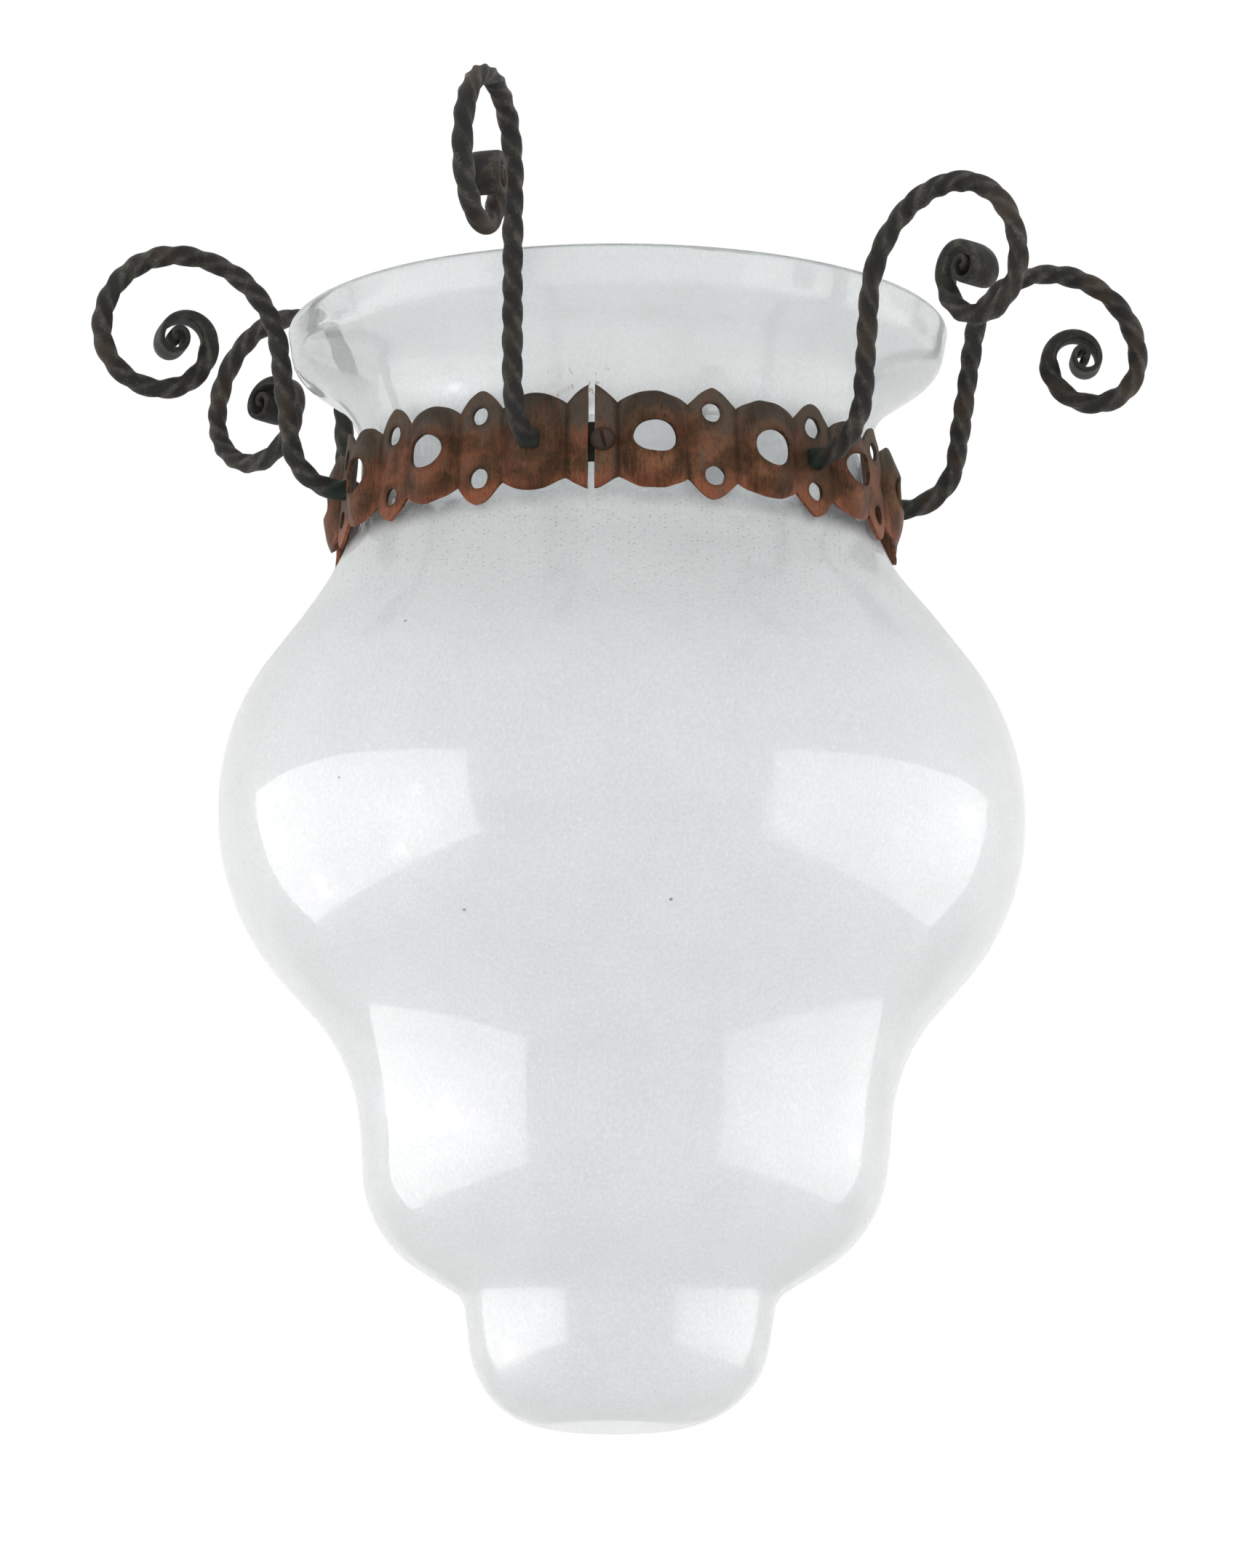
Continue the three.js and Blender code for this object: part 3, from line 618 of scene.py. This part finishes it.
def lobePatch(chance):
    # a lobe's border has straight sides between arches, and its hole is drawn towards that border
    steps, arch = collar["sideSteps"], collar["topSteps"]
    rise = np.linspace(-1, 1, steps + 1)[:-1] * collar["notchHeight"] / 2
    swing = np.linspace(0, math.pi, arch + 1)[:-1]
    side, over = np.full(steps, lobeHalf), lobeHalf * np.cos(swing)
    across = np.concatenate([side, over, -side, -over])
    top = lobeTop(over)
    up = np.concatenate([rise, top, -rise, -top])
    border = np.stack([across, up], axis=-1)
    shift, uneven = collar["holeShift"], collar["holeUneven"]
    centre = chance.uniform(-shift, shift, 2) + [0, collar["holeUp"]]
    size = 1 + chance.uniform(-uneven, uneven)
    width, height = collar["holeWidth"] * size, collar["holeHeight"] * (2 - size)
    hole = holeRing(border, centre, width, height, chance)
    return piercedPatch(border, hole, collar["rings"])


def plainPatch(across, bottom, top):  # straight columns from edge to edge
    rows = np.linspace(0, 1, collar["sideSteps"] + 1)[:, None]
    up = bottom + rows * (top - bottom)
    spots = np.stack([across + 0 * up, up], axis=-1)
    nearEdge = np.repeat(smoothStep(np.abs(rows * 2 - 1), 0.88, 1), len(across), axis=1)
    return spots.reshape(-1, 2), nearEdge.reshape(-1), gridFaces(len(rows), len(across))


def pointPatch(side, chance, height, softness):
    # the upper or lower half of a point, round its own hole
    steps, slope = collar["sideSteps"] // 2, collar["pointTopSteps"]
    rise = np.linspace(0, 1, steps + 1)[:-1] * collar["notchHeight"] / 2
    run = np.linspace(1, -1, slope + 1)[:-1] * pointHalf
    across = np.concatenate([np.full(steps, pointHalf), run, np.full(steps, -pointHalf), -run])
    up = np.concatenate([rise, pointTop(run, height, softness),
                         collar["notchHeight"] / 2 - rise, np.zeros(slope)])
    border = np.stack([across, up], axis=-1)
    shift, uneven = collar["pointHoleShift"], collar["pointHoleUneven"]
    centre = chance.uniform(-shift, shift, 2) + [0, collar["pointHoleSpacing"] / 2]
    size = collar["pointHole"] * (1 + chance.uniform(-uneven, uneven))
    hole = holeRing(border, centre, size, size * 1.06, chance)
    spots, nearEdge, faces = piercedPatch(border, hole, collar["pointRings"])
    return spots * [1, side], nearEdge, faces


def onBand(spots, middle, relief, half, seed):
    # from places on the flat sheet to the cone round the glass: the sheet's own dents and the
    # uneven cut of its edge are added, and relief stands out from the cone
    along = middle + spots[:, 0]
    cut = smoothStep(np.abs(spots[:, 1]), *collar["cutFrom"])
    edge = unevenness(along, spots[:, 1] * 0.2, seed, collar["cutSize"])
    up = spots[:, 1] + cut * collar["cut"] * edge
    dents = collar["dent"] * unevenness(along, up, seed + 1, collar["dentSize"])
    height = band["middle"] + up
    radius = band["lowRadius"] + band["lean"] * (height - band["low"]) + collar["thickness"]
    radius = radius + relief + dents * 0.8
    turn = outward(laidAzimuth(half, np.degrees(along / midRadius) / pitch))
    return np.concatenate([turn * radius[:, None], height[:, None]], axis=1), along, up


def collarHalf(half, seed):
    # lobes at the half pitches, points between them, and half a point at each end of the half
    chance = np.random.default_rng(seed)
    pitchLength = math.radians(pitch) * midRadius
    places = [place for side, place in armPlaces.values() if side == half]
    parts = []

    def addPatch(patch, middle, relief, halfWidth):
        spots, nearEdge, faces = patch
        raised = relief(spots[:, 0], spots[:, 1])
        points, along, up = onBand(spots, middle, raised, half, seed)
        faces = facingOut(points, faces, [0, 0, band["middle"]])
        wide, tall = collar["footSpread"]
        lift = ((up - collar["footUp"]) / tall) ** 2
        feet = [((along - place * pitchLength) / wide) ** 2 + lift for place in places]
        fromCrease = (np.abs(spots[:, 0]) - halfWidth) / collar["creaseWidth"]
        marks = {"along": along, "up": up, "relief": raised / collar["lobeRise"],
                 "edge": nearEdge, "foot": np.exp(-np.min(feet, axis=0)),
                 "crease": np.exp(-fromCrease ** 2)}
        parts.append((points, faces, marks))

    for lobe in range(collar["lobes"]):
        middle = (lobe + 0.5) * pitchLength
        if lobe + 0.5 in places:
            across = -lobeHalf * np.cos(np.linspace(0, math.pi, collar["topSteps"] + 1))
            top = lobeTop(across)
            addPatch(plainPatch(across, -top, top), middle, lobeRelief, lobeHalf)
        else:
            addPatch(lobePatch(chance), middle, lobeRelief, lobeHalf)
    uneven, soft = collar["pointUneven"], collar["splitSoftness"]
    for point in range(1, collar["lobes"]):
        for side in (1, -1):
            height = collar["pointHeight"] * (1 + chance.uniform(-uneven, uneven))
            patch = pointPatch(side, chance, height, chance.uniform(*collar["softness"]))
            addPatch(patch, point * pitchLength, pointRelief, pointHalf)
    atSplit = np.linspace(collar["gap"] / 2, pointHalf, collar["splitSteps"])
    for across, middle in ((atSplit, 0), (-atSplit[::-1], collar["lobes"] * pitchLength)):
        top = pointTop(across, collar["pointHeight"] - collar["splitShorter"], soft)
        bottom = -pointTop(across, collar["lobeHeight"], soft)
        addPatch(plainPatch(across, bottom, top), middle, pointRelief, pointHalf)
    return joined(*parts)


for half, seed in (("right", 21), ("left", 54)):
    piece = makePiece(f"copper_{half}", collarHalf(half, seed), agedCopper,
                      f"collar_half_{half}", closed=False)
    wall = piece.modifiers.new("sheet", "SOLIDIFY")
    wall.thickness = collar["thickness"] * mm
    wall.offset = -1
    bevel = piece.modifiers.new("worn edge", "BEVEL")
    bevel.width = collar["bevel"] * mm
    bevel.segments = 2
    bevel.limit_method = "ANGLE"
    bevel.angle_limit = math.radians(collar["bevelAngle"])
print("collar beaten")


# pieces that stand on the collar along a line out from the axis

def placed(points, azimuth):  # local out, sideways and up become the row's own x, y and z
    out = outward(azimuth)
    flat = points[:, :1] * out + points[:, 1:2] * np.array([-out[1], out[0]])
    return np.concatenate([flat, points[:, 2:] + band["middle"]], axis=1)


def worn(points):  # marks of a piece without a twist or an arm's foot
    return {"corner": np.full(len(points), 0.3), "foot": np.zeros(len(points))}


def turned(profile, azimuth, around=28):
    # a closed or axis to axis profile of (out, radius), turned round a line out from the axis
    out, radius = np.array(profile, dtype=float).T
    turn = fullTurn(around)[None]
    points = np.stack([out[:, None] + 0 * turn, radius[:, None] * np.cos(turn),
                       radius[:, None] * np.sin(turn)], axis=-1).reshape(-1, 3)
    return placed(points, azimuth), gridFaces(len(profile), around, around=True), worn(points)


# scroll arms: a square bar twisted along its length, hammered out to a ribbon at its end

armShapes = {
    # how far outside the mouth the stem passes the rim, how it leans out in degrees, how high over
    # the foot the scroll begins, and the radii of the scroll's first quarter turns
    "right_front": {"standoff": 5.1, "lean": 4.9, "rise": 60, "radii": (44, 37.5, 20, 19)},
    "right": {"standoff": 8.2, "lean": 8.5, "rise": 75, "radii": (32, 37, 19, 18.5)},
    "rear": {"standoff": 3, "lean": 3, "rise": 70, "radii": (37, 36, 21, 20)},
    "left_rear": {"standoff": 12.8, "lean": 2.6, "rise": 81, "radii": (36.5, 38.5, 23.5, 23.5)},
    "left": {"standoff": 3.8, "lean": 7.8, "rise": 58.5, "radii": (42, 32.7, 24.5, 20.5)},
    "front": {"standoff": 1.9, "lean": 0, "rise": 105, "radii": (29.3, 37, 25.7, 19)},
}
bar = {
    "side": 7, "squareness": 5, "twistLength": 45, "footLength": 3, "mouthRadius": 137.2,
    "rimHeight": 456, "third": 10.5, "fourth": 5.3, "lastCurl": 225, "eye": 2.4, "eyeCurl": 230,
    "ribbonWidth": 15.5, "ribbonThickness": 2.6,
    "step": 0.8, "around": 28, "ease": 7,  # the bends run into each other over this length
    "shoulder": 0.16, "shoulderLength": 4,
    "uneven": 0.035, "unevenLength": 26, "twistUneven": 0.35, "twistUnevenLength": 90,
    "steadyStart": (4, 30), "steadyEnd": 30,  # no unevenness of the twist outside these
    "ribbonLead": 6, "tip": 1.6, "tipPast": 0.4, "patinaLength": 13,
    "tenon": 2.5, "tenonPast": 1, "rivet": 4, "rivetHeight": 1.5, "rivetSteps": 7, "sunk": 0.4,
}


def armRoute(values, start):
    # bends follow each other as stretches of even curvature; the heading is its sum along the
    # bar, and the place is the sum of the heading's cosine and sine
    lean = math.radians(values["lean"])
    stemAtRim = bar["mouthRadius"] + bar["side"] * math.sqrt(0.5) + values["standoff"]
    corner = stemAtRim - (bar["rimHeight"] - band["middle"]) * math.tan(lean)
    bendTurn = math.pi / 2 - lean
    bend = (corner - start - bar["footLength"]) / math.tan(bendTurn / 2)
    stem = (values["rise"] - bend * (1 - math.cos(bendTurn))) / math.cos(lean)
    quarters = np.array([bendTurn, *[math.pi / 2] * 3])
    curl, eye = math.radians(bar["lastCurl"]), math.radians(bar["eyeCurl"])
    stretches = [
        (bar["footLength"], 0), (bend * bendTurn, bendTurn), (stem, 0),
        *zip(values["radii"] * quarters, -quarters),
        (bar["third"] * math.pi, -math.pi), (bar["fourth"] * curl, -curl), (bar["eye"] * eye, -eye),
    ]
    lengths, turns = np.array(stretches).T
    ends = np.concatenate([[0], np.cumsum(lengths)])
    travelled = np.linspace(0, ends[-1], int(ends[-1] / bar["step"]))
    heading = np.interp(travelled, ends, np.concatenate([[0], np.cumsum(turns)]))
    window = np.hanning(int(bar["ease"] / bar["step"]) | 1)
    reach = len(window) // 2
    padded = np.concatenate([np.full(reach, heading[0]), heading, np.full(reach, heading[-1])])
    heading = np.convolve(padded, window / window.sum(), mode="valid")
    stride = np.diff(travelled, prepend=0)
    out = start + np.cumsum(np.cos(heading) * stride)
    up = np.cumsum(np.sin(heading) * stride)
    return travelled, heading, out, up, ends


def barSurface(arm, seed, start):
    # a rounded square round each point of the route, turned steadily with the distance and, past
    # the second half turn, drawn out sideways into a ribbon
    travelled, heading, out, up, ends = armRoute(armShapes[arm], start)
    twisted, spreadEnd = ends[7], ends[8]  # where the second and the third half turn end
    quarters = round(twisted / (bar["twistLength"] / 4))
    twist = np.minimum(1, travelled / twisted) * quarters * math.pi / 2
    steady = 1 - smoothStep(travelled, twisted - bar["steadyEnd"], twisted)
    steady = smoothStep(travelled, *bar["steadyStart"]) * steady
    wander = unevenness(travelled, 0, seed, bar["twistUnevenLength"])
    twist = twist + steady * bar["twistUneven"] * wander
    spread = smoothStep(travelled, twisted - bar["ribbonLead"], spreadEnd)
    thick = bar["side"] + (bar["ribbonThickness"] - bar["side"]) * spread
    wide = bar["side"] + (bar["ribbonWidth"] - bar["side"]) * spread
    inPlane, across = (wide, thick) if quarters % 2 else (thick, wide)
    size = 1 + bar["uneven"] * unevenness(travelled, 0, seed + 1, bar["unevenLength"])
    size = size + bar["shoulder"] * np.exp(-(travelled / bar["shoulderLength"]) ** 2)
    left = travelled[-1] + bar["tipPast"] - travelled
    size = size * np.sqrt(np.clip(left / bar["tip"], 0, 1))
    turn = fullTurn(bar["around"])[None]
    square = roundedSquare(turn, bar["squareness"])
    first = (square * np.cos(turn)) * (inPlane * size)[:, None] / 2
    second = (square * np.sin(turn)) * (across * size)[:, None] / 2
    spin = twist[:, None]
    lift = first * np.cos(spin) - second * np.sin(spin)
    side = first * np.sin(spin) + second * np.cos(spin)
    points = np.stack([out[:, None] - np.sin(heading)[:, None] * lift, side,
                       up[:, None] + np.cos(heading)[:, None] * lift], axis=-1)
    corner = np.repeat((square - 1) / (square.max() - 1), len(travelled), axis=0)
    foot = np.exp(-(travelled / bar["patinaLength"]) ** 2)[:, None] + 0 * turn
    caps = [points.mean(axis=1, keepdims=True)[row] + 0 * points[row] for row in (0, -1)]
    points = np.concatenate([caps[:1], points, caps[1:]])
    marks = {name: np.concatenate([mark[:1], mark, mark[-1:]]).reshape(-1)
             for name, mark in (("corner", corner), ("foot", foot))}
    faces = gridFaces(len(points), bar["around"], around=True)
    return placed(points.reshape(-1, 3), armAzimuth(arm)), faces, marks


def sheetOut(arm):  # how far out the copper stands where the arm meets it
    onLobe = armPlaces[arm][1] % 1 == 0.5
    return midRadius + collar["lobeRise" if onLobe else "pointBulge"]


def armSurface(arm, seed):  # the bar, its tenon through the copper and the dome of its rivet
    azimuth = armAzimuth(arm)
    near, _ = reachOf(f"scroll_arm_{arm}", azimuth)
    face = sheetOut(arm)
    riveted = arm not in strapArms
    tall = bar["rivetHeight"]
    start = near + tall / 2 if riveted else near
    end = face + bar["tenonPast"]
    tenon = [(start, 0), (start, bar["tenon"]), (end, bar["tenon"]), (end, 0)]
    parts = [barSurface(arm, seed, face - bar["sunk"]), turned(tenon, azimuth)]
    if riveted:
        swing = np.linspace(math.pi / 2, 0, bar["rivetSteps"])
        dome = [(near + tall * (1 - math.sin(a)), bar["rivet"] * math.cos(a)) for a in swing]
        parts.append(turned([*dome, (near + tall, 0)], azimuth))
    return joined(*parts)


for seed, arm in enumerate(armShapes, start=70):
    makePiece(f"arm_{arm}", armSurface(arm, seed), forgedIron, f"scroll_arm_{arm}")
print("arms twisted")


# washers, spacers, straps and clamp screws

smallWare = {
    "washer": 5.5, "spacer": 4.5, "hole": 2.8, "soft": 0.25,  # radii, and the rounding of corners
    "strapSquareness": 10, "strapAround": 48, "strapSteps": 18,
    "headRadius": 5, "headHeight": 3, "shank": 2.5,
    "slotWidth": 1.3, "slotDepth": 1.4, "slotTurn": 14, "slotEdge": 0.15,
    "headChords": 14, "chordSteps": 41,
    "headSunk": 0.3, "shankInHead": 0.5, "fromSplit": 4.7,
}


def ringProfile(near, far, inner, outer, soft):  # a square section with softened corners, closed
    return [(near, inner + soft), (near, outer - soft), (near + soft, outer), (far - soft, outer),
            (far, outer - soft), (far, inner + soft), (far - soft, inner), (near + soft, inner),
            (near, inner + soft)]


for arm in armShapes:
    azimuth = armAzimuth(arm)
    kind, prefix = ("spacer", "strap") if arm in strapArms else ("washer", "arm")
    node = f"{prefix}_{kind}_{arm}"
    near, far = reachOf(node, azimuth)
    profile = ringProfile(near, far, smallWare["hole"], smallWare[kind], smallWare["soft"])
    makePiece(f"{kind}_{arm}", turned(profile, azimuth), forgedIron, node)


def strapSurface(node):
    # a flat bar's rounded section carried along an arc round the lamp's axis, with closed ends
    spots = nodePoints(node)
    radius = np.hypot(spots[:, 0], spots[:, 1])
    middle = spots[:, :2].mean(axis=0)
    centre = math.degrees(math.atan2(middle[0], -middle[1]))
    turns = np.degrees(np.arctan2(spots[:, 0], -spots[:, 1]))
    turns = (turns - centre + 180) % 360 - 180
    near, far = radius.min(), radius.max()
    low, high = spots[:, 2].min(), spots[:, 2].max()
    swing = fullTurn(smallWare["strapAround"])
    square = roundedSquare(swing, smallWare["strapSquareness"])
    out = square * np.cos(swing) * (far - near) / 2
    up = square * np.sin(swing) * (high - low) / 2
    first, last, steps = turns.min(), turns.max(), smallWare["strapSteps"]
    ends = np.array([0, 0.5, 0.85, 1])
    reach = np.concatenate([ends, np.ones(steps), ends[::-1]])[:, None]
    azimuth = centre + np.concatenate([np.full(len(ends), first), np.linspace(first, last, steps),
                                       np.full(len(ends), last)])
    away = (near + far) / 2 + reach * out
    points = np.concatenate([outward(azimuth)[:, None, :] * away[..., None],
                             ((low + high) / 2 + reach * up)[..., None]], axis=-1)
    points = points.reshape(-1, 3)
    return points, gridFaces(len(azimuth), len(swing), around=True), worn(points)


def headSurface(seat, azimuth, values=smallWare):
    # chords across a disc, side by side, raised to the round of a pan head; two pairs of chords
    # drop to the floor of the slot, and the same chords laid flat close it underneath
    radius, half = values["headRadius"], values["slotWidth"] / 2
    spaced = np.sin(np.linspace(0, math.pi / 2, values["headChords"])) * radius
    spaced = spaced[spaced > half + values["slotEdge"]]
    across = np.concatenate([[half, half], spaced])
    across = np.concatenate([-across[::-1], across])
    inSlot = np.abs(across) <= half
    inSlot[np.flatnonzero(inSlot)[[0, -1]]] = False
    along = np.sin(np.linspace(-math.pi / 2, math.pi / 2, values["chordSteps"]))
    chord = np.sqrt(np.maximum(0, radius ** 2 - across ** 2))
    sideways = across[:, None] + 0 * along
    upward = chord[:, None] * along
    share = np.minimum(1, np.hypot(sideways, upward) / radius)
    rise = values["headHeight"] * (1 - share ** 5) ** 0.5 * (1 - 0.12 * share ** 2)
    floor = values["headHeight"] - values["slotDepth"]
    rise = np.where(inSlot[:, None], np.minimum(rise, floor), rise)
    tilt = math.radians(values["slotTurn"])
    left = sideways * math.cos(tilt) - upward * math.sin(tilt)
    lift = sideways * math.sin(tilt) + upward * math.cos(tilt)
    top, under = [np.stack([seat + high, left, lift], axis=-1).reshape(-1, 3)
                  for high in (rise, 0 * rise)]
    faces = gridFaces(len(across), len(along))
    points = placed(np.concatenate([top, under]), azimuth)
    # lighter towards the head's rim: partly wear, partly painted highlight
    corner = np.concatenate([share.reshape(-1) ** 4 * 0.5, np.zeros(len(under))])
    faces = np.concatenate([faces, faces[:, ::-1] + len(top)])
    return points, faces, {**worn(points), "corner": corner}


for place, half in (("front", "right"), ("rear", "left")):
    strap = f"joint_strap_{place}"
    makePiece(f"strap_{place}", strapSurface(strap), forgedIron, strap)
    azimuth = halfStarts[half] + math.degrees(smallWare["fromSplit"] / midRadius)
    near, far = reachOf(f"clamp_screw_{place}", azimuth)
    seat = far - smallWare["headHeight"]
    radius, end = smallWare["shank"], seat + smallWare["shankInHead"]
    shank = [(near, 0), (near, radius), (end, radius), (end, 0)]
    head = headSurface(seat - smallWare["headSunk"], azimuth)
    surface = joined(head, turned(shank, azimuth))
    makePiece(f"screw_{place}", surface, screwIron, f"clamp_screw_{place}")
print("small ware set")


# floor, lamps and camera

studio = {
    "floorHeight": -0.75, "floorSize": 7, "floorColour": (0.93, 0.93, 0.93, 1), "world": 0.86,
    # the panels at both sides: how far from the axis, and heights over the glass's foot
    "panelAzimuth": 82, "panelDistance": 1.6, "panelWidth": 2.7, "panelLow": -1.42, "panelHigh": 0.55,
    # strengths: glow lights everything, gleam is mirrored only by the glass's clear coat, and
    # sheen only by its milky body
    "glowLeft": 0.3, "glowRight": 0.3, "gleamLeft": 0.62, "gleamRight": 0.4,
    "sheenLeft": 5, "sheenRight": 4,
    "watts": 4,  # of a square metre of a panel whose strength is 1
    "gleamNearer": 0.01,  # of two panels in one place a mirrored ray meets only the first
}
view = {"aim": (0.0063, 0, 0.266), "distance": 2.832, "lookUp": 11.7,
        "focal": 9440, "height": 2156}  # these two in pixels


def makeFloor():
    half, z = studio["floorSize"] / 2, studio["floorHeight"]
    mesh = bpy.data.meshes.new("floor")
    corners = [(-half, -half, z), (half, -half, z), (half, half, z), (-half, half, z)]
    mesh.from_pydata(corners, [], [(0, 1, 2, 3)])
    floor = inScene("floor", mesh)
    shader = Shader(bpy.data.materials.new("floor_paint"))
    surface = shader.principled({
        "Base Color": studio["floorColour"], "Roughness": 0.8, "Specular IOR Level": 0.2})
    mesh.materials.append(shader.finish(surface))


def makeWorld():
    # white for rays that see it, mirrored and through glass too, and plain light for the rest
    world = bpy.data.worlds.new("studio")
    bpy.context.scene.world = world
    shader = Shader(world)
    ray = shader.add("ShaderNodeLightPath")
    seen = ray["Is Camera Ray"].either(ray["Is Glossy Ray"]).either(ray["Is Transmission Ray"])
    white = {"Color": (1, 1, 1, 1), "Strength": 1.0}
    backdrop = shader.add("ShaderNodeBackground", {}, white)[0]
    plain = shader.add("ShaderNodeBackground", {}, {**white, "Strength": studio["world"]})[0]
    mixed = shader.add("ShaderNodeMixShader", {}, {0: seen, 1: plain, 2: backdrop})[0]
    shader.finish(mixed, "ShaderNodeOutputWorld")


def makePanel(kind, side, azimuth):
    width, low, high = studio["panelWidth"], studio["panelLow"], studio["panelHigh"]
    name = f"{kind}_{side}"
    light = bpy.data.lights.new(name, "AREA")
    light.shape = "RECTANGLE"
    light.size, light.size_y = width, high - low
    light.energy = studio[kind + side.title()] * studio["watts"] * width * (high - low)
    panel = inScene(name, light)
    nearer = studio["gleamNearer"] if kind == "gleam" else 0
    out = outward(azimuth) * (studio["panelDistance"] - nearer)
    panel.location = (out[0], out[1], (high + low) / 2)
    panel.rotation_euler = Vector((-out[0], -out[1], 0)).to_track_quat("-Z", "Y").to_euler()
    panel.visible_camera = False
    if kind == "sheen":  # no mirrored ray meets it, so it doesn't show in the clear coat
        light.cycles.use_multiple_importance_sampling = False
    if kind != "glow":  # it lights the glass alone, and only by being mirrored
        panel.visible_diffuse = False
        panel.visible_transmission = False
        mirroring = bpy.data.collections.new(f"{name}_receivers")
        mirroring.objects.link(glassPiece)
        panel.light_linking.receiver_collection = mirroring


def makeCamera():
    camera = bpy.data.cameras.new("camera")
    camera.sensor_fit = "VERTICAL"
    camera.lens = camera.sensor_height * view["focal"] / view["height"]
    holder = inScene("camera", camera)
    tilt = math.radians(view["lookUp"])
    ahead = Vector((0, math.cos(tilt), math.sin(tilt)))
    holder.location = Vector(view["aim"]) - ahead * view["distance"]
    holder.rotation_euler = ahead.to_track_quat("-Z", "Y").to_euler()
    bpy.context.scene.camera = holder


makeFloor()
makeWorld()
for side, azimuth in (("left", -studio["panelAzimuth"]), ("right", studio["panelAzimuth"])):
    for kind in ("glow", "gleam", "sheen"):
        makePanel(kind, side, azimuth)
makeCamera()
bpy.context.scene.view_settings.view_transform = "Standard"
print("studio set")
